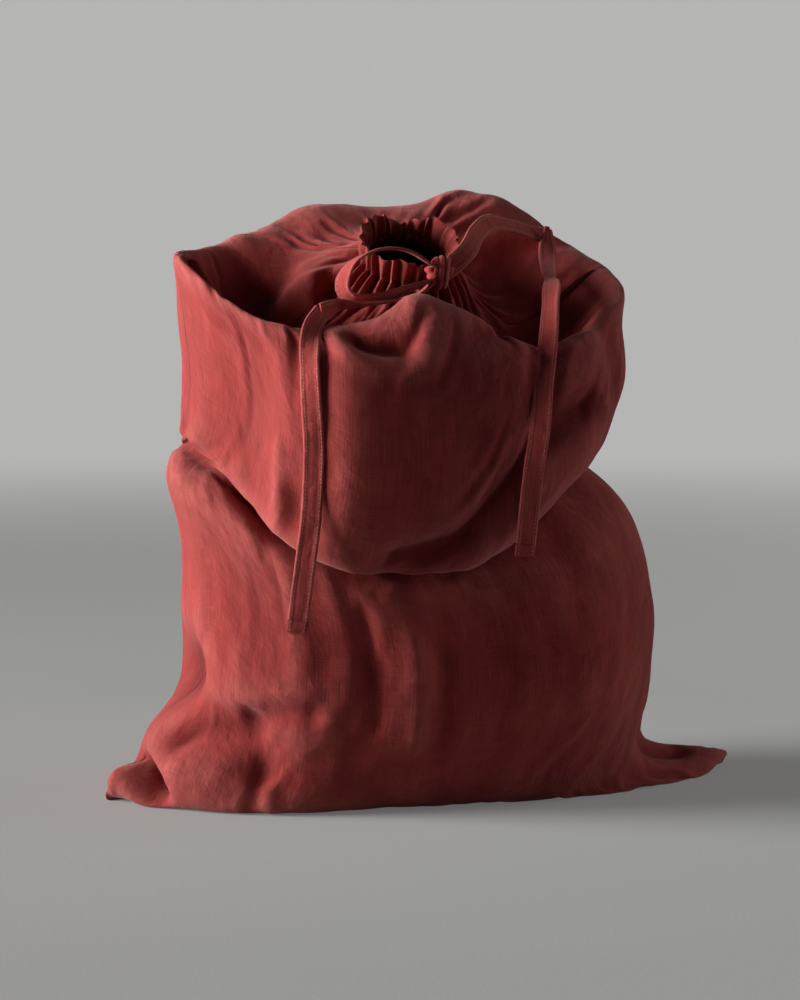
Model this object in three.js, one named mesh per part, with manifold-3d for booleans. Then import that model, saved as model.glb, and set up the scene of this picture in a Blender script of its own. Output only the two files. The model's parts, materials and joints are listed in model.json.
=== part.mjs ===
// Linen drawstring bag, stuffed and slumped forward, standing on the floor.
// Millimetres, +Z up. The origin is on the floor under the body, +X is to the right of
// someone who faces the front of the bag, and -Y is the front.

import * as THREE from "three";
import { mergeVertices } from "three/addons/utils/BufferGeometryUtils.js";
import Module from "manifold-3d";

const wasm = await Module();
wasm.setup();

// The bag
const flatWidth = 500;
const stuffedHeight = 450;
const clothWall = 2.2;
const sewnGap = 0.3;

// Seam allowances inside the bag
const allowanceWidth = 10;
const allowanceThickness = 1.6;
const allowanceClearance = 0.8;

// The gathered mouth and its hem casing
const mouthHalfWidth = 34;
const mouthHalfDepth = 30;
const mouthTilt = THREE.MathUtils.degToRad(40);
const mouthDrop = 42;
const mouthCentre = new THREE.Vector3(2, -10, stuffedHeight - mouthDrop);
const casingHeight = 22;
const casingWall = 1.8;
const hemStitching = 3;
const pleats = 24;
const pleatDepth = 0.9;
const exitAngle = 312;
const exitSlit = 12;

// The ribbon that serves as drawstring and ties
const ribbonWidth = 15;
const ribbonThickness = 1.6;
const ribbonClearance = 0.5;
const hemLength = 9;
const hemThickness = 2.6;

// The bow
const knotBesideMouth = new THREE.Vector3(16, -46.5, -10);
const knotCentre = mouthCentre.clone().add(knotBesideMouth);
const knotSize = new THREE.Vector3(10, 8, 11);
const knotWrapRadius = 2.6;
const endsHalfWidth = 3.4;
const tuckShare = 0.5;
const endsTuck = 0.3;
const loopLength = 78;
const loopHeight = 22;
const loopForward = 5;
const loopDroop = THREE.MathUtils.degToRad(8);

// Fineness of the curved surfaces
const columns = 48;
const rowsPerStation = 3;
const rowsAtWaist = 6;
const clothMaterial = { color: 0x8a3230, roughness: 0.9, metalness: 0 };
const tieMaterial = { color: 0x94403a, roughness: 0.85, metalness: 0 };

// Level sections of the stuffed bag, drawn for a bag 500 wide and 450 high: how far the
// section reaches to each side of the middle, its height there, how square its corners
// are, and how far the bottom seam is turned from the body above it.
const drawnWidth = 500;
const drawnHeight = 450;
const stations = [
  { name: "bottom_seam", left: 229, right: 284, front: -12, back: 12, z: [8, 0, 10, 0], square: 1.15, turn: 0.08 },
  { name: "floor_inner", left: 224, right: 268, front: 34, back: 34, z: [20, 0, 22, 0], square: 1.3, turn: 0.06 },
  { name: "floor_outer", left: 215, right: 242, front: 78, back: 76, z: [30, 0, 36, 0], square: 1.6, turn: 0.03 },
  { name: "heel", left: 198, right: 197, front: 108, back: 104, z: [40, 12, 46, 12], square: 2.5 },
  { name: "belly", left: 180, right: 192, front: 118, back: 116, z: [100, 66, 98, 60], square: 2.6 },
  { name: "middle", left: 173, right: 190, front: 121, back: 120, z: [160, 120, 150, 130], square: 2.5 },
  { name: "under_fold", left: 177, right: 178, front: 116, back: 120, z: [232, 172, 212, 215], square: 2.4 },
  { name: "in_fold", left: 164, right: 144, front: 88, back: 110, z: [262, 196, 250, 262], square: 2.3 },
  { name: "lip", left: 168, right: 150, front: 130, back: 112, z: [268, 180, 262, 285], square: 2.3 },
  { name: "lobe", left: 170, right: 168, front: 150, back: 112, z: [310, 245, 310, 325], square: 2.2 },
  { name: "upper_lobe", left: 173, right: 168, front: 130, back: 104, z: [368, 330, 352, 390], square: 2.2 },
  { name: "shoulder", left: 160, right: 156, front: 84, back: 78, z: [410, 384, 388, 450], square: 2.1 },
  { name: "hollow", left: 70, right: 74, front: 52, back: 34, z: [384, 362, 372, 432], square: 2 },
];
const stationCalled = (name) => stations.findIndex((station) => station.name === name);
const heelStation = stationCalled("heel");
const waistStation = stationCalled("in_fold");
const shoulderStation = stationCalled("shoulder");
const insideFloorShare = 0.6;

// Folds pressed into or pushed out of the shoulder, by direction seen from above:
// 0 is right, 90 is back, 180 is left and 270 is front.
const shoulderFolds = [
  { angle: 46, out: 2, up: 34, spread: 32 },
  { angle: 88, out: 0, up: -12, spread: 12 },
  { angle: 116, out: 2, up: 6, spread: 20 },
  { angle: 248, out: -12, up: -22, spread: 16 },
  { angle: 272, out: 4, up: 10, spread: 14 },
  { angle: 300, out: -20, up: -26, spread: 13 },
];
const foldReach = 0.9;

const part = new THREE.Group();

function addMesh(name, geometry, look = clothMaterial) {
  const mesh = new THREE.Mesh(geometry, new THREE.MeshStandardMaterial(look));
  mesh.name = name;
  part.add(mesh);
  return mesh;
}

// Spaces a polyline's points evenly along its length.
function spacedEvenly(points, count) {
  const reach = [0];
  for (let i = 1; i < points.length; i += 1) {
    reach.push(reach[i - 1] + points[i].distanceTo(points[i - 1]));
  }
  const spaced = [];
  let i = 1;
  for (let k = 0; k < count; k += 1) {
    const target = (reach.at(-1) * k) / (count - 1);
    while (i < points.length - 1 && reach[i] < target) {
      i += 1;
    }
    const share = (target - reach[i - 1]) / (reach[i] - reach[i - 1]);
    spaced.push(points[i - 1].clone().lerp(points[i], share));
  }
  return spaced;
}

// One point of a level section. The angle runs from the left seam, over the front, to
// the right seam and on over the back.
function sectionPoint(station, index, angle) {
  const across = flatWidth / drawnWidth;
  const upward = stuffedHeight / drawnHeight;
  const cosine = Math.cos(angle);
  const sine = Math.sin(angle);
  const bend = 2 / station.square;
  const x = Math.sign(cosine) * Math.abs(cosine) ** bend;
  const y = Math.sign(sine) * Math.abs(sine) ** bend;
  const halfWidth = (station.left + station.right) / 2;
  const halfDepth = (station.front + station.back) / 2;
  const shift = (station.back - station.front) / 2;
  const sharpness = index < heelStation ? 6 : index === heelStation ? 4 : 2;
  const side = Math.abs(cosine) ** sharpness;
  const [left, front, right, back] = station.z;
  let z = side * (cosine < 0 ? left : right) + (1 - side) * (sine < 0 ? front : back);
  if (index < heelStation) {
    z = Math.max(0, z - sewnGap);
  }
  return new THREE.Vector3(
    across * ((station.right - station.left) / 2 + halfWidth * x),
    across * (shift + halfDepth * y + (station.turn ?? 0) * halfWidth * x),
    upward * z,
  );
}

// A point on the gathered mouth: angle round it, distance out of its middle line, and
// height above the gathers, square to the tilted mouth.
function mouthPoint(angle, out, height) {
  const across = (mouthHalfWidth + out) * Math.cos(angle);
  const deep = (mouthHalfDepth + out) * Math.sin(angle);
  return new THREE.Vector3(
    mouthCentre.x + across,
    mouthCentre.y + deep * Math.cos(mouthTilt) - height * Math.sin(mouthTilt),
    mouthCentre.z + deep * Math.sin(mouthTilt) + height * Math.cos(mouthTilt),
  );
}

// Columns start at the left seam, cross the front and come back over the back.
function ringOf(pointAt) {
  const fine = 180;
  const half = (start) => {
    const points = [];
    for (let i = 0; i <= fine; i += 1) {
      points.push(pointAt(start + (Math.PI * i) / fine));
    }
    return spacedEvenly(points, columns / 2 + 1).slice(0, -1);
  };
  return [...half(Math.PI), ...half(2 * Math.PI)];
}

function foldShoulder(ring, level) {
  const middle = new THREE.Vector3();
  ring.forEach((point) => middle.addScaledVector(point, 1 / ring.length));
  return ring.map((point, column) => {
    const outward = point.clone().sub(middle).setZ(0).normalize();
    const moved = point.clone();
    for (const fold of shoulderFolds) {
      const turn = 180 + (360 * column) / columns - fold.angle;
      const away = ((turn + 540) % 360) - 180;
      const near = Math.exp(-((away / fold.spread) ** 2) - ((level - shoulderStation) / foldReach) ** 2);
      moved.addScaledVector(outward, fold.out * near);
      moved.z += fold.up * near;
    }
    return moved;
  });
}

// The rows lie closer together where the waist folds in.
function rowLevels() {
  const found = [];
  for (let station = 0; station < stations.length; station += 1) {
    const atWaist = station === waistStation - 1 || station === waistStation;
    const steps = atWaist ? rowsAtWaist : rowsPerStation;
    for (let step = 0; step < steps; step += 1) {
      found.push(station + step / steps);
    }
  }
  return [...found, stations.length];
}

const levels = rowLevels();

// The cloth's outer surface as rows of points, from the bottom seam up to the gathers.
function clothRows() {
  const rings = stations.map((station, index) => ringOf((angle) => sectionPoint(station, index, angle)));
  rings.push(ringOf((angle) => mouthPoint(angle, 0, 0)));
  const curves = [];
  for (let column = 0; column < columns; column += 1) {
    curves.push(new THREE.CatmullRomCurve3(rings.map((ring) => ring[column]), false, "catmullrom"));
  }
  return levels.map((level) => {
    const ring = curves.map((curve) => curve.getPoint(level / stations.length));
    ring.forEach((point) => point.setZ(Math.max(0, point.z)));
    return foldShoulder(ring, level);
  });
}

// Moves every point of the rows square to the surface, into the bag.
function insetRows(rows, depth) {
  return rows.map((ring, row) => ring.map((point, column) => {
    const below = rows[Math.max(row - 1, 0)][column];
    const above = rows[Math.min(row + 1, rows.length - 1)][column];
    const before = ring[(column + columns - 1) % columns];
    const after = ring[(column + 1) % columns];
    const normal = after.clone().sub(before).cross(above.clone().sub(below)).normalize();
    return point.clone().addScaledVector(normal, -depth);
  }));
}

// A closed solid from loops of points with the same count. A loop that has no area, as
// at a seam, closes by itself.
function solidFromLoops(loops, closeStart = true) {
  const positions = loops.flat().flatMap((point) => [point.x, point.y, point.z]);
  const around = loops[0].length;
  const faces = [];
  for (let row = 0; row < loops.length - 1; row += 1) {
    for (let i = 0; i < around; i += 1) {
      const j = (i + 1) % around;
      const low = row * around;
      const high = low + around;
      faces.push(low + i, low + j, high + j, low + i, high + j, high + i);
    }
  }
  const capLoop = (first, loop, flip) => {
    const centre = new THREE.Vector3();
    loop.forEach((point) => centre.addScaledVector(point, 1 / around));
    const hub = positions.length / 3;
    positions.push(centre.x, centre.y, centre.z);
    for (let i = 0; i < around; i += 1) {
      const j = (i + 1) % around;
      faces.push(hub, first + (flip ? j : i), first + (flip ? i : j));
    }
  };
  if (closeStart) {
    capLoop(0, loops[0], true);
  }
  capLoop((loops.length - 1) * around, loops.at(-1), false);
  const geometry = new THREE.BufferGeometry();
  geometry.setAttribute("position", new THREE.Float32BufferAttribute(positions, 3));
  geometry.setIndex(faces);
  return toSolid(geometry);
}

function signedVolume(vertices, triangles) {
  const corner = (i) => new THREE.Vector3().fromArray(vertices, 3 * triangles[i]);
  let volume = 0;
  for (let i = 0; i < triangles.length; i += 3) {
    volume += corner(i).dot(corner(i + 1).cross(corner(i + 2))) / 6;
  }
  return volume;
}

function toSolid(geometry) {
  const bare = geometry.clone();
  bare.deleteAttribute("normal");
  bare.deleteAttribute("uv");
  const merged = mergeVertices(bare, 1e-3);
  const vertProperties = Float32Array.from(merged.attributes.position.array);
  const triVerts = [];
  const index = merged.index.array;
  for (let i = 0; i < index.length; i += 3) {
    const [a, b, c] = index.slice(i, i + 3);
    if (a !== b && b !== c && c !== a) {
      triVerts.push(a, b, c);
    }
  }
  if (signedVolume(vertProperties, triVerts) < 0) {
    triVerts.reverse();
  }
  const mesh = new wasm.Mesh({ numProp: 3, vertProperties, triVerts: Uint32Array.from(triVerts) });
  return new wasm.Manifold(mesh);
}

function toGeometry(solid) {
  const mesh = solid.getMesh();
  const geometry = new THREE.BufferGeometry();
  geometry.setAttribute("position", new THREE.BufferAttribute(Float32Array.from(mesh.vertProperties), 3));
  geometry.setIndex(new THREE.BufferAttribute(Uint32Array.from(mesh.triVerts), 1));
  geometry.computeVertexNormals();
  return geometry;
}

const rows = clothRows();
const insideRows = insetRows(rows, clothWall);
const firstInsideRow = levels.indexOf(heelStation);
const rightSeam = columns / 2;

// The space inside the cloth. Its floor lies one wall above the ground, and it runs out
// through the mouth.
function insideSolid() {
  const walls = insideRows.slice(firstInsideRow);
  const middle = new THREE.Vector3();
  walls[0].forEach((point) => middle.addScaledVector(point, 1 / columns));
  const floor = walls[0].map((point) => middle.clone().lerp(point, insideFloorShare).setZ(clothWall));
  const throat = Array.from(walls.at(-1), (point) => {
    const mouthAxis = new THREE.Vector3(0, -Math.sin(mouthTilt), Math.cos(mouthTilt));
    return point.clone().addScaledVector(mouthAxis, casingHeight);
  });
  return solidFromLoops([floor, ...walls, throat]);
}

// Everything on one side of the side seams and the bottom seam, less half the gap.
function sideBlock(direction) {
  const reach = flatWidth;
  const edge = (left, right, z) => {
    const sideways = right.clone().sub(left).normalize().multiplyScalar(reach / 4);
    const gap = (direction * sewnGap) / 2;
    const from = left.clone().sub(sideways).add(new THREE.Vector3(0, gap, z));
    const to = right.clone().add(sideways).add(new THREE.Vector3(0, gap, z));
    const farTo = to.clone().setY(direction * reach);
    const farFrom = from.clone().setY(direction * reach);
    return [from, to, farTo, farFrom];
  };
  const climbing = rows.filter((_, row) => Number.isInteger(levels[row]) && levels[row] <= shoulderStation);
  const edges = climbing.map((ring) => edge(ring[0], ring[rightSeam], 0));
  const lowest = edge(climbing[0][0], climbing[0][rightSeam], -reach / 4);
  const highest = edge(climbing.at(-1)[0], climbing.at(-1)[rightSeam], reach / 4);
  return solidFromLoops([lowest, ...edges, highest]);
}

// Leaves out the crumbs that a cut leaves at the thin tips of the corners.
function largestPiece(solid) {
  const pieces = solid.decompose();
  return pieces.reduce((largest, piece) => (piece.volume() > largest.volume() ? piece : largest));
}

function addPanels() {
  const shell = solidFromLoops(rows, false).subtract(insideSolid());
  addMesh("front_panel", toGeometry(largestPiece(shell.intersect(sideBlock(-1)))));
  addMesh("back_panel", toGeometry(largestPiece(shell.intersect(sideBlock(1)))));
}

// The turned-in cloth behind a side seam stands off the wall, towards the other seam. In a
// crease it follows the row that comes furthest in.
function addSideAllowance(name, column, opposite) {
  const firstRow = firstInsideRow + 2;
  const lastRow = levels.indexOf(shoulderStation) - 2;
  const half = new THREE.Vector3(0, allowanceThickness / 2, 0);
  const strips = [];
  for (let row = firstRow; row <= lastRow; row += 1) {
    const seam = insideRows[row][column];
    const inward = insideRows[row][opposite].clone().sub(seam).setY(0).setZ(0).normalize();
    const around = insideRows.slice(row - 2, row + 3).map((ring) => ring[column].dot(inward));
    const stand = Math.max(...around) - seam.dot(inward) + allowanceClearance;
    const near = seam.clone().addScaledVector(inward, stand);
    const far = near.clone().addScaledVector(inward, allowanceWidth);
    strips.push([near.clone().sub(half), far.clone().sub(half), far.add(half), near.add(half)]);
  }
  addMesh(name, toGeometry(solidFromLoops(strips)));
}

function addBottomAllowance() {
  const left = rows[0][0];
  const right = rows[0][rightSeam];
  const floorWidth = insideFloorShare * insideRows[firstInsideRow][0].distanceTo(insideRows[firstInsideRow][rightSeam]);
  const length = floorWidth - 2 * allowanceWidth;
  const mesh = addMesh("bottom_seam", new THREE.BoxGeometry(length, allowanceThickness, allowanceWidth));
  mesh.position.copy(left).lerp(right, left.x / (left.x - right.x));
  mesh.position.z = clothWall + sewnGap + allowanceWidth / 2;
  mesh.rotation.z = Math.atan2(right.y - left.y, right.x - left.x);
}

// A band that follows the mouth between two angles. The section gives, for an angle,
// its corners as distance out of the middle line and height above the gathers.
function mouthBand(fromAngle, toAngle, steps, section) {
  const loops = [];
  for (let i = 0; i <= steps; i += 1) {
    const angle = fromAngle + ((toAngle - fromAngle) * i) / steps;
    loops.push(section(angle).map(([out, height]) => mouthPoint(angle, out, height)));
  }
  return solidFromLoops(loops);
}

const channelHalf = ribbonThickness / 2 + ribbonClearance;
const casingHalf = channelHalf + casingWall;
const channelLow = sewnGap + hemStitching;
const channelHigh = channelLow + ribbonWidth + 2 * ribbonClearance;
const channelMiddle = (channelLow + channelHigh) / 2;
const exitHalf = exitSlit / 2 / mouthHalfWidth;
const exitAt = THREE.MathUtils.degToRad(exitAngle);
const seamHalf = sewnGap / 2 / mouthHalfWidth;

function addCasing(name, fromAngle, toAngle) {
  const steps = Math.round(((toAngle - fromAngle) / (2 * Math.PI)) * pleats * 4);
  const corner = casingWall / 2;
  const outer = mouthBand(fromAngle, toAngle, steps, (angle) => {
    const ripple = pleatDepth * Math.cos(pleats * angle);
    const out = casingHalf + ripple;
    const inn = -casingHalf + ripple;
    return [
      [inn + corner, sewnGap], [out - corner, sewnGap],
      [out, sewnGap + corner], [out, casingHeight - corner],
      [out - corner, casingHeight], [inn + corner, casingHeight],
      [inn, casingHeight - corner], [inn, sewnGap + corner],
    ];
  });
  const overshoot = 4 * seamHalf;
  const channel = mouthBand(fromAngle - overshoot, toAngle + overshoot, steps / 2, () => [
    [-channelHalf, channelLow], [channelHalf, channelLow],
    [channelHalf, channelHigh], [-channelHalf, channelHigh],
  ]);
  addMesh(name, toGeometry(outer.subtract(channel)));
}

function addCasings() {
  addCasing("front_casing", Math.PI + seamHalf, exitAt - exitHalf);
  addCasing("back_casing", exitAt + exitHalf - 2 * Math.PI, Math.PI - seamHalf);
}

// The part of the ribbon inside the casing, standing on its edge. It stops short of the
// two gathered ends that leave through the exit.
function addDrawstringRun() {
  const low = channelMiddle - ribbonWidth / 2;
  const high = channelMiddle + ribbonWidth / 2;
  const half = ribbonThickness / 2;
  const stop = (endsHalfWidth + 2 * sewnGap) / mouthHalfDepth;
  const run = mouthBand(exitAt + stop - 2 * Math.PI, exitAt - stop, pleats * 2, () => [
    [-half, low], [half, low], [half, high], [-half, high],
  ]);
  addMesh("drawstring_run", toGeometry(run), tieMaterial);
}

// The knot, or the space that it takes when it is grown on all sides.
function knotSolid(grown = 0) {
  const core = new THREE.SphereGeometry(1, 16, 10);
  core.scale(knotSize.x + grown, knotSize.y + grown, knotSize.z + grown);
  const wrap = new THREE.TorusGeometry(knotSize.y, knotWrapRadius + grown, 8, 20);
  wrap.rotateY(Math.PI / 2);
  wrap.scale(1, 1, knotSize.z / knotSize.y);
  return toSolid(core).add(toSolid(wrap)).translate(knotCentre.toArray());
}

// Cuts a ribbon that starts inside the knot, so that it meets the knot face to face.
function clearOfKnot(solid) {
  return toGeometry(largestPiece(solid.subtract(knotSolid(sewnGap))));
}

// A place inside the knot, towards a direction.
function tuckedIn(x, y, z) {
  return new THREE.Vector3(x, y, z).normalize().multiply(knotSize).multiplyScalar(tuckShare).add(knotCentre);
}

// Both ends of the drawstring leave the casing together, straight out through the exit,
// and bend down into the knot.
function addDrawstringEnds() {
  const from = mouthPoint(exitAt, 0, channelMiddle);
  const outside = mouthPoint(exitAt, 2 * casingHalf, channelMiddle);
  const to = knotCentre.clone().lerp(outside, endsTuck);
  const path = new THREE.QuadraticBezierCurve3(from, outside, to);
  const upward = new THREE.Vector3(0, -Math.sin(mouthTilt), Math.cos(mouthTilt));
  const corners = 10;
  const steps = 5;
  const loops = [];
  for (let step = 0; step <= steps; step += 1) {
    const share = step / steps;
    const centre = path.getPoint(share);
    const along = path.getTangent(share);
    const upright = upward.clone().addScaledVector(along, -upward.dot(along)).normalize();
    const sideways = along.clone().cross(upright);
    const loop = [];
    for (let corner = 0; corner < corners; corner += 1) {
      const angle = (2 * Math.PI * corner) / corners;
      const point = centre.clone().addScaledVector(upright, (ribbonWidth / 2) * Math.sin(angle));
      loop.push(point.addScaledVector(sideways, endsHalfWidth * Math.cos(angle)));
    }
    loops.push(loop);
  }
  addMesh("drawstring_ends", clearOfKnot(solidFromLoops(loops)), tieMaterial);
}

// A stretch of a curve, given by shares of its length.
class Stretch extends THREE.Curve {
  constructor(route, from, to) {
    super();
    this.route = route;
    this.from = from;
    this.to = to;
  }

  getPoint(t, target = new THREE.Vector3()) {
    return this.route.getPointAt(this.from + (this.to - this.from) * t, target);
  }
}

function routeThrough(points) {
  return new THREE.CatmullRomCurve3(points.map((point) => new THREE.Vector3(...point)));
}

// The direction of a ribbon's width at a share of its route, carried along from the
// start without twisting.
function widthAlong(route, widthAtStart, share) {
  const steps = 60;
  const frames = route.computeFrenetFrames(steps, false);
  const turn = Math.atan2(widthAtStart.dot(frames.binormals[0]), widthAtStart.dot(frames.normals[0]));
  const at = Math.round(share * steps);
  const wide = frames.normals[at].clone().multiplyScalar(Math.cos(turn));
  return wide.addScaledVector(frames.binormals[at], Math.sin(turn));
}

// The corners of a ribbon's section, along its width and across its thickness.
function ribbonSection(thickness) {
  const round = thickness / 4;
  const halfWidth = ribbonWidth / 2;
  const halfThick = thickness / 2;
  return [
    [halfWidth, -round], [halfWidth, round], [halfWidth - round, halfThick],
    [round - halfWidth, halfThick], [-halfWidth, round], [-halfWidth, -round],
    [round - halfWidth, -halfThick], [halfWidth - round, -halfThick],
  ];
}

// A flat ribbon along a curve, with its width along the given direction at the start.
function ribbonGeometry(path, widthAtStart, thickness, steps) {
  const frames = path.computeFrenetFrames(steps, false);
  const turn = Math.atan2(widthAtStart.dot(frames.binormals[0]), widthAtStart.dot(frames.normals[0]));
  const middle = new THREE.Vector2();
  const turned = ribbonSection(thickness).map(([u, v]) => new THREE.Vector2(u, v).rotateAround(middle, turn));
  return new THREE.ExtrudeGeometry(new THREE.Shape(turned), {
    steps,
    bevelEnabled: false,
    extrudePath: path,
  });
}

// A flat ribbon that twists from one direction of its width to another.
function twistedRibbon(path, widthAtStart, widthAtEnd, steps) {
  const loops = [];
  for (let step = 0; step <= steps; step += 1) {
    const share = step / steps;
    const centre = path.getPointAt(share);
    const along = path.getTangentAt(share);
    const wide = widthAtStart.clone().lerp(widthAtEnd, share);
    wide.addScaledVector(along, -wide.dot(along)).normalize();
    const face = along.clone().cross(wide);
    loops.push(ribbonSection(ribbonThickness).map(([u, v]) => {
      return centre.clone().addScaledVector(wide, u).addScaledVector(face, v);
    }));
  }
  return solidFromLoops(loops);
}

// The folded, stitched end of a tie follows on from the end of its route.
function addTieHem(name, route, widthAtEnd) {
  const along = route.getTangentAt(1);
  const start = route.getPointAt(1).addScaledVector(along, sewnGap);
  const stop = start.clone().addScaledVector(along, hemLength);
  const hem = ribbonGeometry(new THREE.LineCurve3(start, stop), widthAtEnd, hemThickness, 1);
  addMesh(name, hem, tieMaterial);
}

// The left tie leaves the knot below the loop, turns over the front lip and hangs down.
const leftTieRoute = routeThrough([
  tuckedIn(-0.5, -0.1, -0.85).toArray(), [0, -59, 381.5], [-20, -63, 377.5], [-42, -71, 375], [-62, -81, 373.5],
  [-78, -93, 368.5], [-86, -103, 358], [-90, -114, 342], [-91.5, -128.5, 307], [-91, -136.5, 275],
  [-92, -138.5, 250], [-94, -139, 222], [-98, -138, 190], [-103, -137, 152],
]);
const leftTieTurn = 0.35;
const leftStrapWidth = new THREE.Vector3(-0.1, 1, -0.05);
const leftTailWidth = new THREE.Vector3(0.95, -0.27, -0.1);

function addLeftTie() {
  const gap = sewnGap / leftTieRoute.getLength();
  const strap = new Stretch(leftTieRoute, 0, leftTieTurn);
  const ribbon = twistedRibbon(strap, leftStrapWidth, leftTailWidth, 13);
  addMesh("left_tie_strap", clearOfKnot(ribbon), tieMaterial);
  const tail = new Stretch(leftTieRoute, leftTieTurn + gap, 1);
  addMesh("left_tie", ribbonGeometry(tail, leftTailWidth, ribbonThickness, 14), tieMaterial);
  addTieHem("left_tie_hem", leftTieRoute, widthAlong(tail, leftTailWidth, 1));
}

// The right strap stands on edge from the knot to the back ridge. The tie laps over its
// end and falls across the hollow and over the front.
const rightStrapRoute = routeThrough([
  tuckedIn(0.9, -0.3, 0.3).toArray(), [41, -49, 415], [54, -27, 429], [72, 0, 438], [94, 17, 436],
  [114, 26, 431], [130, 30, 428],
]);
const rightStrapWidth = new THREE.Vector3(-0.7, 0.1, 0.7);
const rightStrapEndWidth = new THREE.Vector3(0, 0.35, 0.94);
const rightTieRoute = routeThrough([
  [123, 23, 436], [122, 19, 424], [119, 4, 408], [113, -22, 396], [106, -51, 391.5], [101, -68.5, 386],
  [95, -87, 369], [89, -103, 348], [80, -123, 318], [74, -137.5, 289], [68, -144.5, 262],
  [64, -147, 235], [61, -147, 204],
]);
const rightTieWidth = new THREE.Vector3(0.97, 0.2, 0.1);

function addRightTie() {
  const strap = twistedRibbon(rightStrapRoute, rightStrapWidth, rightStrapEndWidth, 15);
  addMesh("right_tie_strap", clearOfKnot(strap), tieMaterial);
  addMesh("right_tie", ribbonGeometry(rightTieRoute, rightTieWidth, ribbonThickness, 20), tieMaterial);
  addTieHem("right_tie_hem", rightTieRoute, widthAlong(rightTieRoute, rightTieWidth, 1));
}

function addKnot() {
  addMesh("bow_knot", toGeometry(knotSolid()), tieMaterial);
}

// The bow loop leaves the knot to the left, droops a little and comes back below itself.
function addLoop() {
  const outline = [
    [0.08, 0.16], [0.36, 0.44], [0.74, 0.5], [0.96, 0.22], [0.98, -0.2], [0.76, -0.48], [0.4, -0.42], [0.08, -0.16],
  ];
  const turn = new THREE.Euler(0, -loopDroop, 0);
  const route = routeThrough(outline.map(([along, up]) => {
    const point = new THREE.Vector3(-along * loopLength, -loopForward, up * loopHeight);
    return point.applyEuler(turn).add(knotCentre).toArray();
  }));
  const ribbon = ribbonGeometry(route, new THREE.Vector3(0, 1, 0), ribbonThickness, 22);
  addMesh("bow_loop", clearOfKnot(toSolid(ribbon)), tieMaterial);
}

addPanels();
addSideAllowance("left_side_seam", 0, rightSeam);
addSideAllowance("right_side_seam", rightSeam, 0);
addBottomAllowance();
addCasings();
addDrawstringRun();
addDrawstringEnds();
addKnot();
addLoop();
addLeftTie();
addRightTie();

export default part;
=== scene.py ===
# %% [markdown]
# A stuffed linen drawstring bag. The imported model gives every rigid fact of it: how big it
# is, where the mouth sits and where the ribbons run. This script dresses that frame. Cloth
# is the whole look here, so most of the work goes into one sheet of linen that is drawn in
# at the mouth, slumps in a fold at the waist and ends in two sewn corners on the floor.

import json
import math

import bmesh
import bpy
import numpy as np
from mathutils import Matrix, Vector, noise

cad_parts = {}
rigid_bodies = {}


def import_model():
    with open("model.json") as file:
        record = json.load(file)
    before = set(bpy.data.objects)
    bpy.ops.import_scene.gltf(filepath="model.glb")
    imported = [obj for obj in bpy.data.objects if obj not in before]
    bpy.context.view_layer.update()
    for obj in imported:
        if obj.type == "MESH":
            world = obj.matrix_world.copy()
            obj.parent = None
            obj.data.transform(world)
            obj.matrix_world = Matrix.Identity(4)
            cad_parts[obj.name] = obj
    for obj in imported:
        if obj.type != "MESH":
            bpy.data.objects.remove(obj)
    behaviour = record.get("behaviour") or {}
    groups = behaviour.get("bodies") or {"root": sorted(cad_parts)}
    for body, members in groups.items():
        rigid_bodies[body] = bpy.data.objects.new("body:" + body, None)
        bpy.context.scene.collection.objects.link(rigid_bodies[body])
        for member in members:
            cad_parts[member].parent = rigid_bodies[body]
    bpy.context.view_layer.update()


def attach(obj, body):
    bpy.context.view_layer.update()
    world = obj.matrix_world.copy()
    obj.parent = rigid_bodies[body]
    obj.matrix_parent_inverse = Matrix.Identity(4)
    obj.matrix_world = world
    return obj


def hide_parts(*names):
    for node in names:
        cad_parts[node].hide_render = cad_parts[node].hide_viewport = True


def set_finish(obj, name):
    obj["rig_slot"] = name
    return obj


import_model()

# %% [markdown]
# The camera stands a little left of the bag's middle, about as high as its mouth, and looks
# slightly down. Its place and its lens were found by laying known points of the bag over
# the photograph. It is made first, so that every later step can be judged through it.

# %% Camera
camera_distance = 1.735
camera_height = 0.373
camera_side = math.radians(-12)
camera_tilt = math.radians(4.9)
picture_width = 800
picture_height = 1000
focal_pixels = 2250

camera_data = bpy.data.cameras.new("camera")
camera_data.sensor_width = 36
camera_data.lens = focal_pixels / max(picture_width, picture_height) * camera_data.sensor_width
camera = bpy.data.objects.new("camera", camera_data)
bpy.context.scene.collection.objects.link(camera)
camera.location = (
    camera_distance * math.sin(camera_side),
    -camera_distance * math.cos(camera_side),
    camera_height,
)
looking = Vector((
    -math.sin(camera_side) * math.cos(camera_tilt),
    math.cos(camera_side) * math.cos(camera_tilt),
    -math.sin(camera_tilt),
))
camera.rotation_euler = looking.to_track_quat("-Z", "Y").to_euler()
bpy.context.scene.camera = camera
print("lens", round(camera_data.lens, 1), "mm")

# %% [markdown]
# Small helpers that every piece uses. Meshes are written as rows of points, so that each
# step can be checked with numbers before it is ever rendered. `grid_faces` joins the rows,
# `tape_faces` also closes both ends of a flat tube, and `lay_flat` notes where each point
# lies on the flat cloth. `curve_between` runs smoothly through the middle two of four places.

# %% Helpers
def make_piece(name, points, faces):
    mesh = bpy.data.meshes.new(name)
    mesh.from_pydata([tuple(map(float, point)) for point in points], [], faces)
    mesh.update()
    mesh.shade_smooth()
    piece = bpy.data.objects.new(name, mesh)
    bpy.context.scene.collection.objects.link(piece)
    return piece


def grid_faces(rows, wide, closed=False):
    faces = []
    for row in range(rows - 1):
        for column in range(wide if closed else wide - 1):
            after = (column + 1) % wide
            here, above = row * wide, (row + 1) * wide
            faces.append([here + column, here + after, above + after, above + column])
    return faces


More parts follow.
